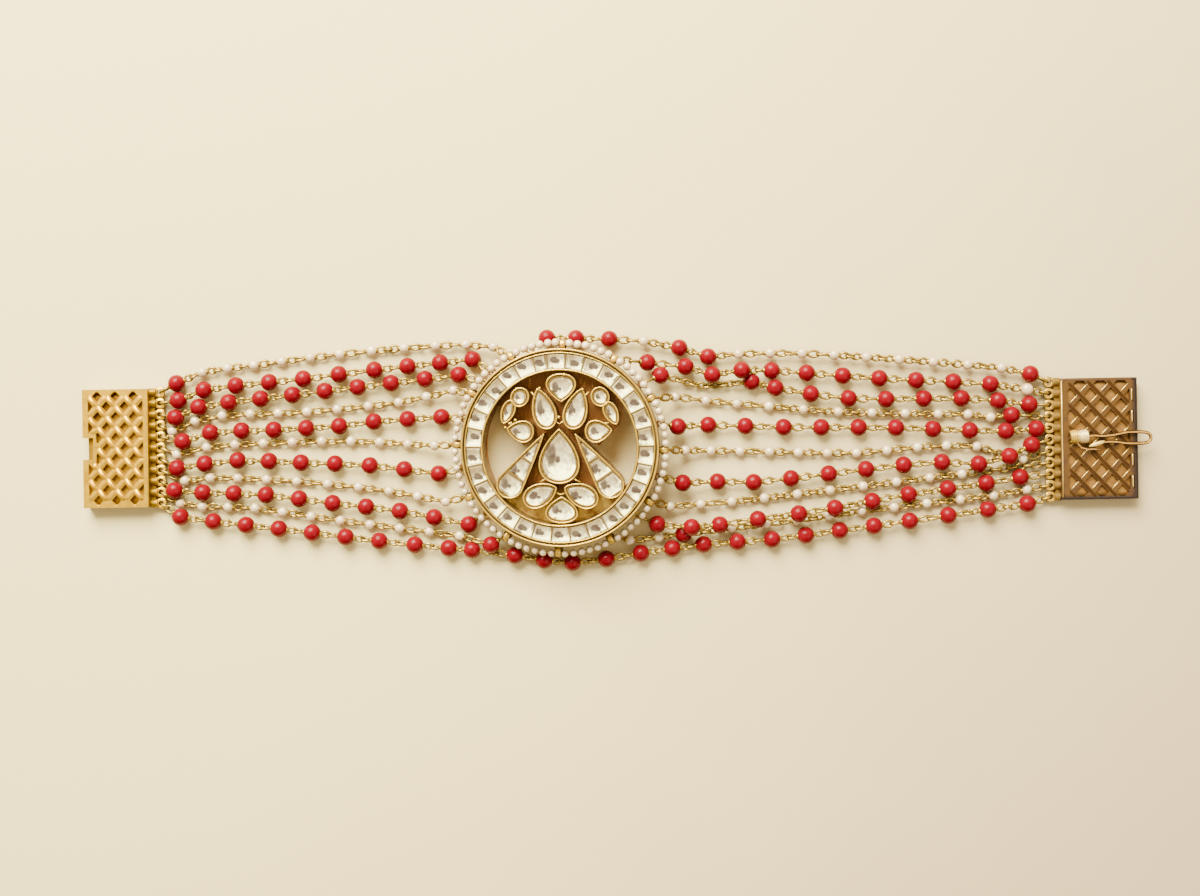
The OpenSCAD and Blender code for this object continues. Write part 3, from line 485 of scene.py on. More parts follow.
def lit_edges(at, lattice, bar, top):
    """The painted highlight at the lower right of each opening: a short bright wire on the side of
    the bar that closes it, from crossing to crossing and thinner at its ends."""
    step, middle, low, high, _ = lattice
    half, parts = np.array(step) / 2, []
    inset = 1 - bar / (half[0] * half[1] * 2 / math.hypot(*half))
    shares = np.array([-0.04, 0.3, 0.7, 1.04])[:, None]
    for i in range(-8, 9):
        for j in range(-8 + (i + 1) % 2, 9, 2):
            foot = np.array(middle) + np.array([i, j]) * half + np.array([0, -half[1]]) * inset
            ends = foot + half * inset * shares
            if (ends >= np.array(low) + 0.15).all() and (ends <= np.array(high) - 0.15).all():
                parts.append(wire(on_clasp(ends, at, top), [0.07, 0.085, 0.085, 0.07], 6))
    return parts


# A bright gold painted on as highlight, where edges catch the light
highlight_gold = gold("highlight_gold", (1.0, 0.74, 0.22), (1.0, 0.66, 0.14), 0.34, shade_rise=(-0.5, 0.5))
piece("plate_lit_edges", lit_edges(plate_at, plate_lattice, 0.8, plate_h - 0.06),
      highlight_gold)
dull_look = start("dull_edge")
cloud = dull_look.noise(1.1)
# Painted shade: the moulding turns dark along the right and bottom edges
grey = dull_look.place(0).step(91.8, 92.6) + (0 - dull_look.place(1)).step(7.5, 8.1)
brown = cloud.mix((0.16, 0.085, 0.04), (0.11, 0.06, 0.035))
dull_edge = finish(dull_look, grey.mix(brown, (0.035, 0.026, 0.022)), 0.4, bump=cloud, depth=0.03,
                   Metallic=0.5, Specular_IOR_Level=0.15)
x, y = plate_l / 2, plate_w / 2
plate_edge = rounded_edge(plate_at, [(-x, -y), (x, -y), (x, y), (-x, y)],
                          [(1, 1), (-1, 1), (-1, -1), (1, -1)], plate_h - 0.24)
piece("plate_edge", [plate_edge], dull_edge)
lines = []
for j in (-2, -1, 1, 2):
    slit = np.column_stack([np.full(5, x - 0.95), np.linspace(-1.1, 1.1, 5) + j * slit_pitch])
    lines.append(wire(on_clasp(slit, plate_at, plate_h - 0.03), 0.11, 6))
inner_line = np.column_stack([np.full(5, 0.16 - x), (0.5 - y, -4, 0, 4, y - 0.5)])
lines.append(wire(on_clasp(inner_line, plate_at, plate_h + 0.02), 0.12, 6))
piece("plate_bright_lines", lines, highlight_gold)

# The eye tabs: a pointed petal of sheet gold for each strand, soldered along the inner end of
# both clasp halves, with a hole near its point that the strand's last link goes through.
eyes, eye_out, eye_z = 11, 1.7, 1.0
tab_top, tab_sides = eye_z + 0.3, 28
# Each row of eyes: its clasp half, how far the wall is from the middle, pitch, and its side
box_row, plate_row = (box_at, box_l / 2, 2.0, 1), (plate_at, plate_l / 2, 2.07, -1)


def eye_tabs(row):
    """Petals with a hole, all alike: outside, half width = 0.98 * sin(b) ** 0.7 * (1 - 0.2 cos b)
    from the wall to the point, and inside a circle round the eye. Each rises to a lip."""
    at, wall, pitch, lean = row
    b = np.linspace(0, math.tau, tab_sides, endpoint=False)
    h = np.minimum(b, math.tau - b)
    half = 0.98 * np.sin(h) ** 0.7 * (1 - 0.2 * np.cos(h))
    outer = np.stack([1.62 - 1.02 * np.cos(h), np.where(b > math.pi, -half, half)], -1)
    way = np.arctan2(outer[:, 1], outer[:, 0] - eye_out)
    hole = [eye_out, 0] + 0.44 * np.stack([np.cos(way), np.sin(way)], -1)
    # Each ring of a petal: its share of the way from the outside to the hole, and its rise
    levels = ((0.0, -0.25), (0.0, 0.0), (0.25, 0.16), (0.6, 0.1), (0.85, 0.22), (1.0, 0.14),
              (1.0, -0.25))
    parts = []
    for i in range(eyes):
        rings = []
        for share, rise in levels:
            xy = outer + (hole - outer) * share
            xy = np.stack([lean * (wall + xy[:, 0]), xy[:, 1] + (eyes // 2 - i) * pitch], -1)
            rings.append(on_clasp(xy, at, tab_top + rise))
        parts.append((np.vstack(rings), [net(len(levels), tab_sides, True)]))
    return parts


tab_gold = gold("tab_gold", (1.0, 0.64, 0.03), (0.7, 0.4, 0.012), 0.26, 0.5, shade_rise=(0.2, 0.9),
                shadow=(0.13, 0.065, 0.01))
piece("box_eye_tabs", eye_tabs(box_row), tab_gold)
olive_tab = gold("olive_tab_gold", (0.85, 0.54, 0.08), (0.46, 0.27, 0.035), 0.26, 0.5,
                 shade_rise=(0.3, 0.97), shadow=(0.13, 0.07, 0.014))
piece("plate_eye_tabs", eye_tabs(plate_row), olive_tab)

# The catch: a hairpin of sprung wire, painted bright along its top as painted highlight and dark
# down its sides as painted shade. One end is wrapped round its stud on the plate half in nine
# turns, and the other ends in a flattened tip.
catch_gold = gold("catch_gold", (0.98, 0.56, 0.14), (0.7, 0.36, 0.08), 0.2, shade_rise=(0.8, 1.0),
                  shadow=(0.045, 0.016, 0.004))
stud_z, stud_l, wrap_turns = plate_h + 0.6, 3.2, 9
upper_arm = [(-3.6, 0.4), (-2.2, 0.4), (-1.2, 0.6), (0.2, 0.4), (2.4, 0.6), (4.6, 1.05), (7, 1.1)]
lower_arm = [(7, -1), (4.6, -0.95), (2.4, -0.6), (0.8, -0.6), (-0.4, -0.95), (-1.9, -1.4)]


def reach(path):
    """How far along a path each of its points is."""
    return np.concatenate([[0], np.cumsum(np.linalg.norm(np.diff(path, axis=0), axis=1))])


def spots(path, far):
    """The places that are this far along a path."""
    return np.stack([np.interp(far, reach(path), axis) for axis in np.transpose(path)], -1)


def hairpin():
    """The catch's wire: two arms joined by a half circle, (8.09 + 0.95 cos a, 0.95 sin a), drawn
    through its points and then evened out: each point becomes the mean of its neighbours."""
    a = np.radians(np.linspace(90, -90, 13))
    round_end = np.stack([8.09 + 0.95 * np.cos(a), 0.95 * np.sin(a) + 0.04], -1)
    points = np.vstack([upper_arm, round_end, lower_arm])
    path = spots(points, np.linspace(0, reach(points)[-1], 150))
    for _ in range(6):
        path[1:-1] = (path[:-2] + path[1:-1] + path[2:]) / 3
    return wire(on_clasp(path, plate_at, stud_z), 0.3, 12)


piece("catch_hairpin", [hairpin()], catch_gold, replaces=["catch_wire"])
share = np.linspace(0, 1, 110)
bulge = 0.76 + 0.3 * np.abs(np.sin(share * 6.0 + 0.2)) ** 0.7
along_stud, a = -4.0 - stud_l / 2 + 0.2 + share * (stud_l - 0.1), share * wrap_turns * math.tau
coil = on_clasp(np.stack([along_stud, 0.4 + bulge * np.cos(a)], -1), plate_at,
                (bulge * np.sin(a) + stud_z)[:, None])
wrap_look = start("wrapped_wire")
cloud = wrap_look.noise(0.7)
# Painted highlight: the wrap turns paler and whiter towards its outer end
outer_end = (wrap_look.place(0) + cloud * 0.8).step(82.4, 83.2)
wrap_gold = finish(wrap_look, outer_end.mix((0.68, 0.46, 0.06), (1.0, 0.8, 0.36)), 0.3, bump=cloud,
                   depth=0.03, Metallic=0.5, Specular_IOR_Level=0.3)
piece("stud_wrap", [wire(coil, 0.22, 6, up=(1, 0, 0))], wrap_gold)
tip = np.linspace((84.4, 0.72, stud_z + 0.2), (87.2, 1.62, stud_z + 0.2), 7)
tip_radii = (0.12, 0.28, 0.38, 0.42, 0.4, 0.34, 0.24)
# The flattened tip is painted bright, as a highlight
piece("catch_tip", [wire(tip, tip_radii, 8, flat=0.7)], highlight_gold)
loose = ((81.4, 1.9), (82.4, 1.2), (83.0, 0.5), (84.2, 0.2), (85.4, 0.25), (86.6, 0.15))
loose = np.column_stack([loose, np.linspace(stud_z + 0.3, stud_z, len(loose))])
wrap_end_gold = gold("wrap_end_gold", (0.9, 0.52, 0.18), (0.6, 0.32, 0.1), 0.25,
                     shade_rise=(0.3, 0.95), shadow=(0.1, 0.045, 0.015))
piece("catch_wrap_end", [wire(loose, 0.15, 8)], wrap_end_gold)

# The medallion's gold work: a rim, a ring of cells and a flower of collets on a pierced plate.
# The walls are burnished over the stones, so each has a bright round lip, painted dark down its
# sides as painted shade.
medallion_at = np.array([-9.8, 0.8])
roll, pitch = math.radians(4.0), math.radians(3.5)
rim_r, opening_r, medallion_h = 17.55, 13.6, 6.0
medallion_z = rim_r * math.sin(math.acos(math.cos(roll) * math.cos(pitch)))
collet_top, collet_t = medallion_h - 0.4, 0.35
# The ring of cells: the narrow one's width and middle in degrees, and how many full ones
narrow_step, narrow_at, full_stones = 8.6, 102.5, 29
ring_step = (360 - narrow_step) / full_stones
petal_l, petal_w, petal_cuts = 13.3, 4.9, (1.7, 5.6, 9.15, 13.3)
# Each long petal: its tip, and the way that it runs out from there, in degrees
petals = {"left": (-2.75, 2.5, 236.0), "right": (2.75, 2.5, 304.5)}
# The other stones: middle, length, width, the way that the point looks in degrees, sharpness
flower = {
    "top": (0.3, 10.6, 5.1, 5.4, 270, 0.8),
    "left_wing": (-2.85, 6.9, 7.5, 4.3, 106, 0.7), "right_wing": (3, 6.9, 7.5, 4.3, 74, 0.7),
    "left_round": (-7, 8.95, 3.6, 3.3, 60, 0), "right_round": (7.2, 9, 3.6, 3.3, 120, 0),
    "left_oval": (-9.15, 6.35, 4.5, 2.5, 248, 0.35),
    "right_oval": (9.15, 6.1, 4.4, 2.6, 295, 0.35),
    "left_pear": (-6.95, 2.95, 4.9, 4, 170, 0.7), "right_pear": (6.9, 2.95, 4.9, 4.1, 5, 0.7),
    "centre": (-0.1, -1.5, 9.8, 7.3, 90, 0.9),
    "left_leaf": (-3.5, -8.35, 6.5, 4.3, 25, 0.45),
    "right_leaf": (3.75, -8.35, 6.5, 4.3, 155, 0.45),
    "bottom": (0.3, -11, 4.8, 5.9, 90, 0.8)}


def on_medallion(points):
    """Points of the level medallion where they lie: tipped by pitch about X, then by roll about Y,
    and lifted into their place."""
    x, y, z = np.moveaxis(np.asarray(points, float), -1, 0)
    y, z = y * math.cos(pitch) - z * math.sin(pitch), y * math.sin(pitch) + z * math.cos(pitch)
    return np.stack([x * math.cos(roll) - z * math.sin(roll), y,
                     x * math.sin(roll) + z * math.cos(roll)], -1) + [*medallion_at, medallion_z]


def drop_outline(f, inset, n):
    """Outline of a stone, from its point and round: x = length * cos t / 2 towards the point, and
    y = half width * sin t * sin(t / 2) ** sharpness, a little widened. An oval has sharpness 0."""
    x, y, length, width, way, sharp = f
    length, width = length - 2 * inset, width - 2 * inset
    t = turns(n)
    h = np.minimum(t, math.tau - t)
    side = width / 2 * np.sin(h) * np.sin(h / 2) ** sharp * (1 + 0.3 * sharp)
    xy = np.stack([length * np.cos(h) / 2, np.where(t > math.pi, side, -side)], -1)
    return turned(xy, math.radians(way)) + [x, y]


def petal_outline(p, low, high, inset, n):
    """Outline of the part of a long petal between two stations from its tip. Its half width is a
    power of the way from the tip, up to a station where the round end begins."""
    s = low + (high - low) * (1 - np.cos(np.linspace(0, math.pi, n + 1))) / 2
    blunt = 0.82 * petal_l
    end = np.sqrt(np.clip(1 - ((s - blunt) / (petal_l - blunt)) ** 2, 0, 1))
    half = petal_w / 2 * np.where(s < blunt, (np.maximum(s, 0) / blunt) ** 0.85, end)
    half = np.maximum(half - inset, 0.02)
    edge = np.vstack([np.stack([s, half], -1), np.stack([s, -half], -1)[::-1]])
    return turned(edge, math.radians(p[2])) + [p[0], p[1]]


def lip(outline, radius, z, sides=7):
    """A round wire on a closed outline of the level medallion, lifted to where it lies."""
    points, faces = wire(lifted(outline, z), radius, sides, closed=True)
    return on_medallion(points), faces


def circle(r, n=120):
    """Points of a circle round the origin."""
    return r * np.stack([np.cos(turns(n)), np.sin(turns(n))], -1)


frame_look = start("medallion_gold")
slope_x, slope_y = math.sin(roll), math.sin(pitch)
height = (frame_look.place(2) - frame_look.place(0) * slope_x - frame_look.place(1) * slope_y
          + (medallion_at[0] * slope_x + medallion_at[1] * slope_y - medallion_z))
cloud, fine = frame_look.noise(3.2), frame_look.noise(0.3, 3.0, seed=4.0)
wall = cloud.step(0.3, 0.75).mix((0.3, 0.2, 0.07), (0.18, 0.115, 0.04))
low_down = (0 - frame_look.place(1)).step(6.5, 9.0)
scratch = frame_look.noise(0.35, 1.0, (1, 0.12, 1), 2.0).step(0.62, 0.7)
back = scratch.mix((0.34, 0.155, 0.048), (0.54, 0.3, 0.085))
back = (low_down * cloud.step(0.25, 0.5)).mix(back, (1.0, 0.74, 0.17))
frame_gold = finish(frame_look, (height + fine * 0.4).step(2.0, 3.6).mix(back, wall),
                    0.3 + fine * 0.22, bump=cloud * 0.6 + fine * 0.4, depth=0.05, Metallic=0.6,
                    Specular_IOR_Level=0.15)
wear("medallion_frame", frame_gold)
lip_gold = gold("lip_gold", (1.0, 0.66, 0.09), (0.62, 0.38, 0.05), 0.24, shade_rise=(0.25, 0.97),
                shadow=(0.24, 0.14, 0.03))
lips = [lip(drop_outline(f, collet_t * 0.4, 44), 0.17, collet_top) for f in flower.values()]
for p in petals.values():
    lips.append(lip(petal_outline(p, 0.1, petal_l, 0.12, 22), 0.17, collet_top))
piece("collet_lips", lips, lip_gold)
lips = [lip(circle(r), radius, medallion_h - below)
        for r, radius, below in ((17.36, 0.17, 0.03), (16.78, 0.11, 0.1), (13.8, 0.18, 0.1))]
piece("rim_lips", lips, lip_gold)

# Granules and small webs of solder that join the collets where they nearly touch. Each grain is
# a low dome with its middle here, and each web a short bridge that is thinner half way.
grains = ((-7.8, 4.9), (-8.8, 4.3), (-9.6, 3.6), (-3.5, 10.5), (-0.1, 5.4), (0.9, 12.9),
          (4.1, 10.3), (8.2, 4.3))
webs = (((-5.0, 9.9), (-4.4, 9.2), (-4.1, 8.4)), ((5.2, 9.9), (4.6, 9.2), (4.3, 8.4)),
        ((-8.7, 7.9), (-8.3, 7.6), (-7.9, 7.4)), ((8.8, 7.9), (8.4, 7.6), (8.0, 7.4)),
        ((-8.6, 4.6), (-8.4, 4.2), (-8.0, 4.2)), ((8.6, 4.5), (8.4, 4.2), (8.0, 4.2)),
        ((-0.9, 4.9), (0.0, 4.2), (0.9, 4.9)), ((-2.2, -5.3), (-2.9, -5.7), (-3.6, -6.1)),
        ((2.1, -5.3), (2.9, -5.7), (3.7, -6.1)), ((-0.5, -8.0), (0.2, -8.3), (0.9, -8.0)))
grain_parts = []
for x, y in grains:
    rings = [lifted(circle(1.0, 10) * r + [x, y], collet_top + z)
             for r, z in ((0.3, -0.5), (0.34, 0.0), (0.2, 0.22), (0.02, 0.28))]
    faces = [net(len(rings), 10), [range(10)], [range(30, 40)]]
    grain_parts.append((on_medallion(np.vstack(rings)), faces))
for web in webs:
    points, faces = wire(lifted(web, collet_top - 0.25), [0.2, 0.12, 0.2], 7)
    grain_parts.append((on_medallion(points), faces))
piece("granules_and_webs", grain_parts, lip_gold)

# The stones: clear foiled glass, flat cut with a row of sloped facets round the table. The foil
# under each is painted light, warm white below and cream above, with a grey painted reflection
# to one side.
# Colours of the painted light on the foil, and of its grey painted reflection
lit_foil_white = (1.0, 0.93, 0.56)
shaded_foil_cream = (0.24, 0.18, 0.08)
reflection_grey = (0.05, 0.028, 0.024)
setting_line = (0.07, 0.04, 0.012)
stone_base = 4.62
draw = np.random.default_rng(7)


def stone_look(name, lobes):
    """Foiled glass. The mark in_stone holds the place across the stone, from -1 to 1 each way, and
    how far out it is. Each lobe of the grey painted reflection is a middle and two half widths."""
    glass = start(name)
    u, v, out = (glass.mark("in_stone", k) for k in range(3))
    facet, wobble = glass.mark("facet", 0), glass.noise(0.7, 2.0)
    # Painted reflection: a dark grey patch to one side of each stone, outside which this is 1
    light = 1
    for x, y, a, b in lobes:
        p, q = (u - x) * (1 / a), (v - y) * (1 / b)
        light = (p * p + q * q + wobble * 0.9 + facet * 0.6).step(1.15, 2.0) * light
    # Painted light: the foil is whiter towards the bottom of the stone and creamier towards its top
    shade = (u * 0.12 - v * 0.5 + facet * 0.9 + wobble * 0.6).step(0.0, 1.1)
    dark_reflection = (facet * 0.8 + wobble * 0.5).step(0.2, 0.7).mix(reflection_grey, (0.15, 0.12, 0.075))
    # Painted reflection of the gold setting: a thin brown ring round the table
    edge = abs(out - 0.8).step(0.05, 0.015) * 0.35
    body = edge.mix(light.mix(dark_reflection, shade.mix(shaded_foil_cream, lit_foil_white)), (0.16, 0.12, 0.05))
    # Painted glow: the brightest white of the foil gives off light of its own, as a painted
    # highlight
    painted_glow = (shade * light).step(0.55, 1.0).mix((0.0, 0.0, 0.0), (6.0, 5.5, 1.8))
    return finish(glass, out.step(0.94, 1.0).mix(body, setting_line), 0.1 + wobble * 0.08,
                  bump=wobble, depth=0.03, Metallic=0.0, Coat_Weight=0.3, Coat_Roughness=0.04,
                  Specular_IOR_Level=0.4, Emission_Color=painted_glow, Emission_Strength=1.0)


def cut_stone(outline, base, girdle, table, sides, dome=0.08):
    """A stone over an outline, as rings from its back up to the table: each ring is the outline
    drawn in towards its middle by a share, at a height. Each of its sides is one facet of the
    crown and one of the table's edge. Returns the points, faces, and the marks of both."""
    n = len(outline)
    low, high = outline.min(0), outline.max(0)
    middle, half = (low + high) / 2, (high - low) / 2
    rings = [(0.94, base), (1.0, base + 0.1), (1.0, girdle), (0.8, table),
             (0.6, table + dome * 0.6), (0.3, table + dome), (0.02, table + dome)]
    points = np.vstack([lifted(middle + (outline - middle) * share, z) for share, z in rings])
    share = np.repeat([share for share, _ in rings], n)
    marks = np.column_stack([(points[:, :2] - middle) / half, share])
    side_of = np.arange(n) * sides // n
    crown, edge = draw.uniform(0, 0.55, sides)[side_of], draw.uniform(0.1, 0.4, sides)[side_of]
    calm = np.full(n, 0.25)
    tone = np.concatenate([calm, calm, crown, edge, calm, calm, [0.25, 0.25]])
    return points, tube(len(rings), n), marks, np.column_stack([tone, tone, tone])


flower_glass = stone_look("flower_glass", ((-0.48, 0.06, 0.32, 0.48), (-0.08, -0.12, 0.15, 0.17)))
ring_glass = stone_look("ring_glass", ((-0.2, 0.05, 0.5, 0.42), (0.22, -0.1, 0.3, 0.28)))


def set_stone(name, outline, sides):
    """A stone of the flower over its outline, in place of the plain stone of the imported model."""
    points, faces, marks, tones = cut_stone(outline, stone_base, collet_top - 0.2,
                                            collet_top + 0.08, sides)
    piece("glass_" + name, [(on_medallion(points), faces)], flower_glass, smooth=False,
          marks={"in_stone": marks}, replaces=(name,), face_marks={"facet": tones})


def bezel(outlines):
    """A closed ring of gold carried along an outline: one (outline, height) for each corner."""
    points = np.vstack([lifted(xy, z) for xy, z in outlines])
    return on_medallion(points), [net(len(outlines), len(outlines[0][0]), True)]


# Corners of a bezel's cut, as inset from the stone's outline and height, and of the cut in a long
# petal, as how far past the stone's outline and height
bezel_cut = ((0.3, -0.5), (0.3, -0.06), (0.42, -0.2), (0.52, -0.02), (0.64, -0.02), (0.68, -0.12),
             (0.68, -0.5))
wall_cut = ((0.14, -0.5), (0.14, -0.02), (0, -0.04), (0, -0.5))
bezels = []
for name, f in flower.items():
    set_stone(name + "_stone", drop_outline(f, 0.66, 32)[::-1], 11 if f[2] > 6 else 8)
    bezels.append(bezel([(drop_outline(f, inset, 40), collet_top + z) for inset, z in bezel_cut]))
for side, p in petals.items():
    for k, part in enumerate(("tip", "middle", "end")):
        low = petal_cuts[k] + (0.22 if k else 0.4)
        high = petal_cuts[k + 1] - (0.22 if k < 2 else 0.66)
        set_stone(f"{side}_petal_{part}_stone", petal_outline(p, low, high, 0.5, 14)[::-1], 6)
        bezels.append(bezel([(petal_outline(p, low - grow, high + grow, 0.5 - grow, 12),
                              collet_top + z) for grow, z in wall_cut]))
bezel_look = start("bezel_gold")
cloud = (bezel_look.noise(0.5) * 0.5).step(0.1, 0.4)
bezel_gold = finish(bezel_look, cloud.mix((0.55, 0.36, 0.08), (0.22, 0.135, 0.035)), 0.28,
                    Metallic=0.7, bump=cloud, depth=0.02)
piece("stone_bezels", bezels, bezel_gold, smooth=False)

# The stones of the ring of cells: 29 alike and a narrow one near the top. Each is held by the
# walls of its cell, and its grey painted reflection lies a little differently from the next one's.
ring_in, ring_out, seat = opening_r + 0.4, rim_r - 0.9, medallion_h - 1.2
stones, marks, tones = [], [], []
for k in range(full_stones + 1):
    step = ring_step if k < full_stones else narrow_step
    middle = narrow_at + narrow_step / 2 + (k + 0.5) * ring_step if k < full_stones else narrow_at
    a = np.linspace(0, 1, 7)
    edge = []
    for r, turn in ((ring_in + 0.08, 1), (ring_out - 0.08, -1)):
        side = math.asin(0.15 / r)
        spread = (math.radians(step) / 2 - side) * (2 * a - 1) * turn
        edge.append(np.stack([r * np.cos(spread), r * np.sin(spread)], -1))
    outline = turned(np.vstack(edge)[::-1], math.radians(middle))
    points, faces, mark, tone = cut_stone(outline, seat + 0.1, medallion_h - 0.3,
                                          medallion_h - 0.02, 5, 0.04)
    low, high = points[:, :2].min(0), points[:, :2].max(0)
    mark[:, :2] = (points[:, :2] - (low + high) / 2) / 1.45 + draw.uniform(-0.25, 0.25, 2)
    stones.append((on_medallion(points), faces))
    marks.append(mark)
    tones.append(tone)
piece("glass_ring_stones", stones, ring_glass, smooth=False, replaces=("ring_stones",),
      marks={"in_stone": np.vstack(marks)}, face_marks={"facet": np.vstack(tones)})

# The seed pearls round the medallion: small and a little uneven, strung on a fine gold wire
# under the rim. A strap of flat gold parts them at each of the twelve rings, and hangs further out
# at the lower left.
seed_r, seed_at, seed_z = 0.73, 18.74, 3.95
# The rings under the straps: how many, and in degrees the first one's place and the step
high_rings, high_first = 12, 28.5
high_step = 360 / high_rings
high_angles = high_first + high_step * np.arange(high_rings)


def seed_line(angle):
    """Place in the level medallion of the seed pearls' wire at an angle in degrees: its radius is
    seed_at + 0.25 * cos(angle - 235 degrees)."""
    a = np.radians(angle)
    r = seed_at + 0.25 * np.cos(a - math.radians(235))
    return np.stack([r * np.cos(a), r * np.sin(a)], -1)


def pearl_look(name, marked=True):
    """Pearl: warm white with a little pink and grey from one to the next, and a soft gloss. The
    sides are painted darker and browner, as painted shade. marked: see rise."""
    nacre = start(name)
    tone, cloud = nacre.mark("tone", 0), nacre.noise(0.6, 2.0)
    body = (tone * 0.6 + cloud * 0.4).mix((0.76, 0.56, 0.3), (1.0, 0.85, 0.53))
    # Painted shade: the pearl is darker and browner where it looks sideways or down
    lit = nacre.rise(marked).step(0.0, 0.85)
    return finish(nacre, lit.mix((0.3, 0.18, 0.09), body), 0.24 + cloud * 0.12, bump=cloud,
                  depth=0.03, Coat_Weight=1.0, Coat_Roughness=0.16, Specular_IOR_Level=1.0)


def copies(faces, per, n):
    """Faces of n copies of a shape that has per points."""
    first = (np.arange(n) * per)[:, None, None]
    return [(np.array(some) + first).reshape(-1, len(some[0])) for some in faces]


def balls(centres, radii, across=12, down=7, uneven=0.03):
    """Round beads, all at once: point = centre + radius * (sin b cos a, sin b sin a, cos b), with
    radii that vary a little from bead to bead. Gives a part and each point's tone."""
    centres, n = np.asarray(centres, float), len(centres)
    a, b = turns(across), np.linspace(0.06, math.pi - 0.06, down)
    ball = np.stack([np.sin(b)[:, None] * np.cos(a), np.sin(b)[:, None] * np.sin(a),
                     np.repeat(np.cos(b)[:, None], across, 1)], -1).reshape(-1, 3)
    size = (np.asarray(radii, float) * (1 + draw.uniform(-uneven, uneven, n)))[:, None, None]
    points = centres[:, None] + ball * size * (1 + draw.uniform(-uneven, uneven, (n, 1, 3)))
    last = len(ball) - 1
    faces = copies([net(down, across)[:, ::-1], [range(across)],
                    [range(last, last - across, -1)]], len(ball), n)
    tone = np.repeat(draw.uniform(0, 1, n), len(ball))
    return (points.reshape(-1, 3), faces), np.column_stack([tone, tone, tone])


pearl = pearl_look("pearl")
seed_angles = np.add.outer(high_angles, np.linspace(3.7, 26.3, 6)).ravel()
seeds = np.column_stack([seed_line(seed_angles) + draw.uniform(-0.06, 0.06, (len(seed_angles), 2)),
                         seed_z + draw.uniform(-0.12, 0.12, len(seed_angles))])
radii = seed_r + 0.05 * np.cos(np.radians(seed_angles - 60))
part, tone = balls(on_medallion(seeds), radii, 10, 6)
piece("seed_pearls", [part], pearl, marks={"tone": tone})
straps = []
for angle in high_angles:
    a = math.radians(angle)
    out, across = np.array([math.cos(a), math.sin(a)]), np.array([-math.sin(a), math.cos(a), 0])
    far = np.hypot(*seed_line(angle))
    bends = ((17.4, 4.3), (far - 0.3, 4.55), (far + 0.3, 4.35), (far + 0.52, 3.8),
             (far + 0.45, 3.1))
    points, faces = wire([(*(out * r), z) for r, z in bends], 0.13, 8, up=across, flat=4.0)
    straps.append((on_medallion(points), faces))
piece("ring_straps", straps, lip_gold)
seed_gold = gold("fine_gold_wire", (0.45, 0.3, 0.05), (0.25, 0.15, 0.03), 0.3)
thread = lip(seed_line(np.arange(0, 360, 3)), 0.13, seed_z, 5)
piece("seed_pearl_wire", [thread], seed_gold)

# The strands: coral beads and pearls on gold pins with an eye at each end, linked eye to eye.
# Each strand runs from an eye of a clasp half to a ring on the medallion, or right through.
coral_r, pearl_r, large_r = 1.55, 0.95, 1.15
loop_at, high_z, low_z = rim_r + 0.67, 3.0, 0.9
# Where the rings of the coral strands are, in degrees
low_angles = (133, 140, 164, 192, 221, 108, 38, 13, 342.5, 317)
link_wire, pin_out = 0.24, 0.12
# A link's half width, and that of one no longer than short_link
link_half, short_half, short_link = 0.55, 0.46, 1.3
# Aimed length of a link between beads, at a strand's end, and where the right pearls start
pace_between, pace_end, pace_long = 1.35, 1.5, 2.3


def eye_hole(row, i):
    """Middle of the hole in eye number i of a clasp half, counted from the top."""
    at, wall, pitch, lean = row
    return on_clasp([lean * (wall + eye_out), (eyes // 2 - i) * pitch], at, eye_z).tolist()


def ring_hole(degrees, z):
    """Middle of a ring's hole on the medallion."""
    a = math.radians(degrees)
    return on_medallion([loop_at * math.cos(a), loop_at * math.sin(a), z]).tolist()


box_eye, plate_eye = ([eye_hole(row, i) for i in range(eyes)] for row in (box_row, plate_row))
high_hole = [ring_hole(degrees, high_z) for degrees in high_angles]
low_hole = [ring_hole(degrees, low_z) for degrees in low_angles]

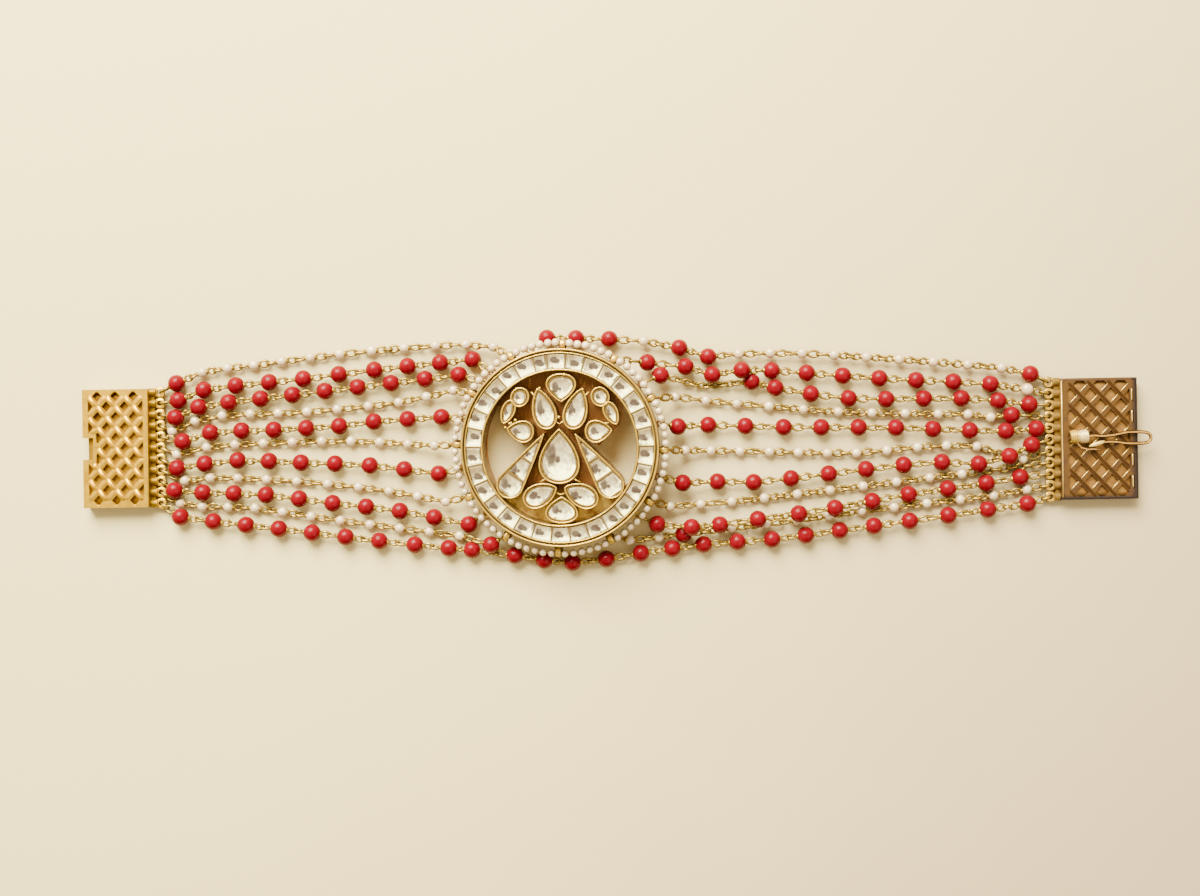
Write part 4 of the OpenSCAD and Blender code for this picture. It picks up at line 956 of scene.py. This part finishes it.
# Each strand: its first and last hole, number of beads, numbers of its odd beads, and route.
# A route's rows are bead number, x, y, and lift where it isn't 0. A strand's odd beads are pearls
# among coral, or coral among pearls.
strands = {
    "left_pearl_1": (box_eye[0], high_hole[3], 12, (0,), [
        (0, -79.3, 12.1), (1, -74.8, 14.1, 0.2), (3, -65.5, 15.4), (6, -50, 17.4),
        (8, -38.4, 18.5), (10, -27.2, 19.1, 0.4), (11, -22.2, 18.6, 1.3)]),
    "left_coral_1": (box_eye[1], low_hole[0], 10, (), [
        (0, -79, 9), (1, -74.4, 10.9), (4, -56.5, 12.9), (6, -43.7, 14.5), (9, -26, 16.4)]),
    "left_coral_2": (box_eye[2], low_hole[1], 10, (), [
        (0, -79.5, 5.9), (1, -75.3, 7.8), (3, -64.2, 9.3), (6, -46.7, 11.4), (9, -28.5, 13.6)]),
    "left_pearl_2": (box_eye[3], high_hole[4], 11, (), [
        (0, -80.2, 3.5), (1, -76.1, 5.3), (2, -71.2, 6.3), (5, -55.9, 7), (8, -39.4, 8.7),
        (10, -29.4, 10.8, 1.2)]),
    "left_coral_3": (box_eye[4], low_hole[2], 9, (), [
        (0, -78.2, 1.6), (1, -73.2, 3.2), (3, -61.8, 3.7), (5, -50, 4.4), (6, -43.8, 5.2),
        (8, -31.6, 6)]),
    "left_pearl_3": (box_eye[5], high_hole[5], 10, (), [
        (0, -79.4, -0.7), (1, -74, 0.6), (3, -63.8, 1.3), (6, -48, 1.7), (8, -37.7, 1.2, 0.2),
        (9, -32.8, 0.9, 1.2)]),
    "left_coral_4": (box_eye[6], low_hole[3], 9, (), [
        (0, -79.2, -3.2), (1, -74.2, -2.4), (2, -68.3, -1.8), (4, -56.9, -2.2), (6, -44.5, -2.7),
        (8, -32.1, -4.2)]),
    "left_pearl_4": (box_eye[7], high_hole[6], 10, (), [
        (0, -78, -5.4), (1, -73.4, -4.9), (3, -63.2, -5.2), (5, -52.2, -6), (7, -41.1, -7.3),
        (9, -30.8, -9.2, 1)]),
    "left_coral_5": (box_eye[8], low_hole[4], 10, (), [
        (0, -79.6, -7.2, 0.2), (1, -74.6, -7.6), (3, -63.2, -8), (5, -51.2, -9.5),
        (7, -39.1, -10.9), (9, -26.7, -13.3)]),
    "left_pearl_5": (box_eye[9], high_hole[7], 12, (11,), [
        (0, -78.8, -9.5), (1, -74.8, -10.1), (3, -65.3, -10.4), (5, -55.2, -11.9), (8, -39.2, -14),
        (10, -28.4, -15.4), (11, -22.6, -16.9, 1.1)]),
    "lower_coral": (box_eye[10], plate_eye[10], 26, (), [
        (0, -78.6, -12), (1, -72.7, -12.8), (3, -60.9, -14.1), (6, -42.8, -16.3),
        (8, -30.3, -17.6), (9, -26.1, -17.9), (10, -18.4, -18.9), (12, -8, -20.2),
        (14, 4.3, -18.5), (16, 15.6, -16.9), (18, 27.9, -16), (20, 40.1, -14.4), (22, 52.7, -12.7),
        (25, 73.9, -9.6)]),
    "upper": (low_hole[5], plate_eye[0], 16, (3, 6, 7, 8, 9, 10, 11, 12, 13, 14), [
        (0, -12.6, 20.2, 0.6), (1, -7.4, 20.2), (3, 4.8, 19.7), (4, 11.2, 18.5), (5, 16.4, 16.9),
        (6, 21.9, 17.4), (8, 33.3, 17.5), (11, 50.8, 16.4), (14, 69.2, 14.9), (15, 74.4, 13.8)]),
    "right_coral_1": (high_hole[1], plate_eye[1], 12, (11,), [
        (0, 5.4, 15.8, 1), (1, 12.3, 15.1, 0.2), (2, 17.1, 13.6, 0.8), (3, 22.3, 14.4, 1.5),
        (4, 27.8, 14.4, 0.2), (7, 47.2, 13), (10, 67.2, 12), (11, 73.8, 11)]),
    "right_coral_2": (low_hole[6], plate_eye[2], 10, (), [
        (0, 7.8, 13.5, 1), (0.5, 15.5, 11.6, -0.8), (1, 24.2, 12.4), (2, 28.5, 11.3),
        (4, 41.7, 9.4), (7, 62, 9.4), (8, 68.6, 9), (9, 74.2, 8.3)]),
    "right_pearl_2": (high_hole[0], plate_eye[3], 12, (11,), [
        (0, 10.4, 9.6, 1.2), (1, 16, 9, 0.1), (3, 27.4, 8), (5, 39.9, 7), (8, 57.9, 6.6),
        (9, 63.3, 6.6), (10, 67.4, 6), (11, 71, 6.4)]),
    "right_coral_3": (low_hole[7], plate_eye[4], 11, (), [
        (0, 10.9, 4.3, 1.2), (1, 16.4, 4.6), (3, 30, 4.2), (6, 50.2, 4.1), (8, 63.5, 3.6),
        (9, 70, 3.5), (10, 75.5, 3.9)]),
    "right_pearl_3": (high_hole[11], plate_eye[6], 12, (), [
        (0, 12.2, 0, 1.2), (1, 16.9, 0, 0.1), (3, 27.5, -0.2), (6, 43.2, -0.4), (8, 54.2, 0.6),
        (10, 64.9, 0.8), (10.5, 69.3, -0.6, -0.6), (11, 73.2, -1.5)]),
    "right_coral_4": (low_hole[8], plate_eye[5], 11, (), [
        (0, 11.8, -5.8, 1.2), (1, 18.1, -5.6), (2, 24.6, -5.7), (4, 38.1, -4.2), (6, 51.6, -2.6),
        (7, 58.5, -2.1), (8, 65, -2.4, 0.5), (9, 70.4, -1, 1), (10, 74.5, 1, 0.6)]),
    "right_pearl_4": (high_hole[10], plate_eye[7], 10, (), [
        (0, 9.5, -10, 1.2), (2, 20.7, -9.2), (4, 32.5, -7.8), (6, 44.4, -6.4), (8, 56.4, -4.9),
        (9, 62.2, -4.2), (9.4, 67, -3.6, -0.6), (9.8, 72.9, -2.9)]),
    "right_coral_5": (low_hole[9], plate_eye[8], 11, (), [
        (0, 7.2, -13.2, 1.4), (1, 13.3, -13.7, 2.4), (2, 18.4, -13.3, 1.4), (3, 25.2, -12.3, 1.5),
        (4, 32.5, -11.3, 1.8), (5, 39, -10.3, 1.5), (6, 45.9, -9.1, 0.3), (7, 52.5, -7.9),
        (9, 66.5, -5.9), (10, 72.6, -4.8)]),
    "right_pearl_5": (high_hole[9], plate_eye[9], 13, (2,), [
        (0, 2.3, -16.1, 1), (1, 7.6, -15.6, 0.2), (2, 12, -15), (3, 20.7, -14), (5, 32.5, -12.6),
        (7, 44.1, -10.9), (9, 55.9, -9.5), (11, 67.9, -8.1), (12, 73.9, -7)])}


def along(rows, k):
    """The smooth curve through a route's rows at bead number k, as x, y and lift: a cubic
    between two rows, with each row's slope taken from the rows on both sides of it."""
    rows = np.array([(*row, 0)[:4] for row in rows], float)
    i = int(np.clip(np.searchsorted(rows[:, 0], k) - 1, 0, len(rows) - 2))
    last = len(rows) - 1

    def slope(j):
        before, after = rows[max(j - 1, 0)], rows[min(j + 1, last)]
        return (after - before) / (after[0] - before[0])

    a, b = rows[i], rows[i + 1]
    h = b[0] - a[0]
    u = (k - a[0]) / h
    at = ((2 * u ** 3 - 3 * u ** 2 + 1) * a + (u ** 3 - 2 * u ** 2 + u) * h * slope(i)
          + (3 * u ** 2 - 2 * u ** 3) * b + (u ** 3 - u ** 2) * h * slope(i + 1))
    return at[1:]


def bead_at(rows, r, k):
    """Middle of bead number k, of radius r, or a bend of the links if k is between two beads."""
    x, y, lift = along(rows, k)
    return np.array([x, y, max(r + lift, r if k == int(k) else 0.25)])


def links(ends, rolls, widths):
    """Oval links of round wire, all at once. A link's wire runs along centre + half length *
    cos u * way + half width * sin u * side, and side is turned about the strand by the roll."""
    ends, rolls = np.asarray(ends, float), np.radians(rolls)[:, None]
    way = ends[:, 1] - ends[:, 0]
    half = np.linalg.norm(way, axis=1)[:, None] / 2
    way, widths = way / (2 * half), np.asarray(widths, float)[:, None]
    level = unit(np.cross([0.0, 0.0, 1.0], way))
    side = np.cos(rolls) * level + np.sin(rolls) * np.cross(way, level)
    square = np.cross(way, side)
    n, sides = 12, 5
    u, v = turns(n), turns(sides)
    centre = (ends.mean(1)[:, None] + (half * np.cos(u))[..., None] * way[:, None]
              + (widths * np.sin(u))[..., None] * side[:, None])
    out = unit((np.cos(u) / half)[..., None] * way[:, None]
               + (np.sin(u) / widths)[..., None] * side[:, None])
    points = (centre[:, :, None] + link_wire * (np.cos(v)[None, None, :, None] * out[:, :, None]
              + np.sin(v)[None, None, :, None] * square[:, None, None]))
    points[..., 2] -= np.minimum(points[..., 2].min((1, 2)), 0)[:, None, None]
    return points.reshape(-1, 3), copies([net(n, sides, True)], n * sides, len(ends))


def collars(centres, ways):
    """Small turned collars where a pin leaves a bead: a ringed profile round the strand's way."""
    centres, way = np.asarray(centres, float), unit(ways)
    level = unit(np.cross([0.0, 0.0, 1.0], way))
    square = np.cross(way, level)
    profile = np.array([(-0.3, 0.5), (0.02, 0.52), (0.12, 0.34), (0.2, 0.36), (0.3, 0.1)])
    a = turns(8)
    out = np.cos(a)[None, :, None] * level[:, None] + np.sin(a)[None, :, None] * square[:, None]
    points = (centres[:, None, None] + profile[None, :, :1, None] * way[:, None, None]
              + profile[None, :, 1:, None] * out[:, None])
    return points.reshape(-1, 3), copies(tube(len(profile), 8), 8 * len(profile), len(centres))


coral = start("coral")
mottle, fine = coral.noise(1.4), coral.noise(0.35, 2.0, seed=3.0)
tone = (mottle * 0.7 + fine * 0.3).step(0.3, 0.75)
coral_red = finish(coral, tone.mix((0.165, 0.0007, 0.005), (0.215, 0.0013, 0.009)),
                   0.2 + fine * 0.1, bump=mottle, depth=0.02, Specular_IOR_Level=0.16)
link_gold = gold("link_gold", (0.62, 0.42, 0.075), (0.26, 0.165, 0.03), 0.24, 0.7,
                 shade_rise=(0.15, 0.9))
odd_corals = []
for name, (first, last, count, odd, rows) in strands.items():
    kind = "pearl" if "pearl" in name else "coral"
    main_r, odd_r = (pearl_r, coral_r) if kind == "pearl" else (coral_r, pearl_r)
    if name == "right_coral_1":
        odd_r = large_r
    radii = [odd_r if k in odd else main_r for k in range(count)]
    beads = [(bead_at(rows, r if kind == "pearl" else coral_r, k), r) for k, r in enumerate(radii)]
    stops = [(np.array(first), 0.0)] + beads + [(np.array(last), 0.0)]
    ends, rolls, widths, collar_at, collar_way = [], [], [], [], []
    for k, ((a, ra), (b, rb)) in enumerate(zip(stops[:-1], stops[1:])):
        bends = [bead_at(rows, main_r, row[0]) for row in rows if k - 1 < row[0] < k]
        path = [a, *bends, b]
        path[0] = a + unit(path[1] - a) * (ra + pin_out if ra else 0)
        path[-1] = b + unit(path[-2] - b) * (rb + pin_out if rb else 0)
        for at, r, near in ((a, ra, path[1]), (b, rb, path[-2])):
            if r:
                collar_at.append(at + unit(near - at) * r)
                collar_way.append(near - at)
        total = reach(path)[-1]
        starts_long = kind == "pearl" and name.startswith("right") and k == 0
        pace = pace_between if ra and rb else pace_long if starts_long else pace_end
        n = max(2 if ra and rb else 1, round((total - 0.3) / pace))
        each = (total + (n - 1) * 2 * link_wire) / n
        roll_now = draw.uniform(5, 35) if ra else 90.0
        if not rb:
            roll_now = 90.0 - 90.0 * ((n - 1) % 2)
        for j in range(n):
            low = j * (each - 2 * link_wire)
            ends.append(spots(path, (low, low + each)))
            rolls.append(roll_now + 90 * (j % 2))
            widths.append(link_half if each > short_link else short_half)
    made = [links(ends, rolls, widths), collars(collar_at, collar_way)]
    if kind == "pearl":
        node = name.replace("pearl", "pearl_strand")
        pearls = [bead for k, bead in enumerate(beads) if k not in odd]
        odd_corals += [beads[k][0] for k in odd]
        part, tone = balls(*zip(*pearls), 14, 8, 0.02)
        piece(name.replace("pearl", "pearls"), [part], pearl,
              marks={"tone": tone}, replaces=(node,))
    elif name == "upper":
        node, bead_node = "upper_wire", "upper_coral_beads"
    else:
        node, bead_node = (name.replace("coral", "coral_" + kept) for kept in ("wire", "beads"))
    piece(name + "_links", made, link_gold, replaces=(node,))
    if kind == "coral":
        wear(bead_node, coral_red)
part, tone = balls(odd_corals, np.full(len(odd_corals), coral_r), 24, 14, 0.0)
piece("odd_coral_beads", [part], coral_red, marks={"tone": tone})
loose_pearl = pearl_look("loose_pearl", marked=False)
for node in ("upper_pearl_beads", "large_pearl"):
    wear(node, loose_pearl)
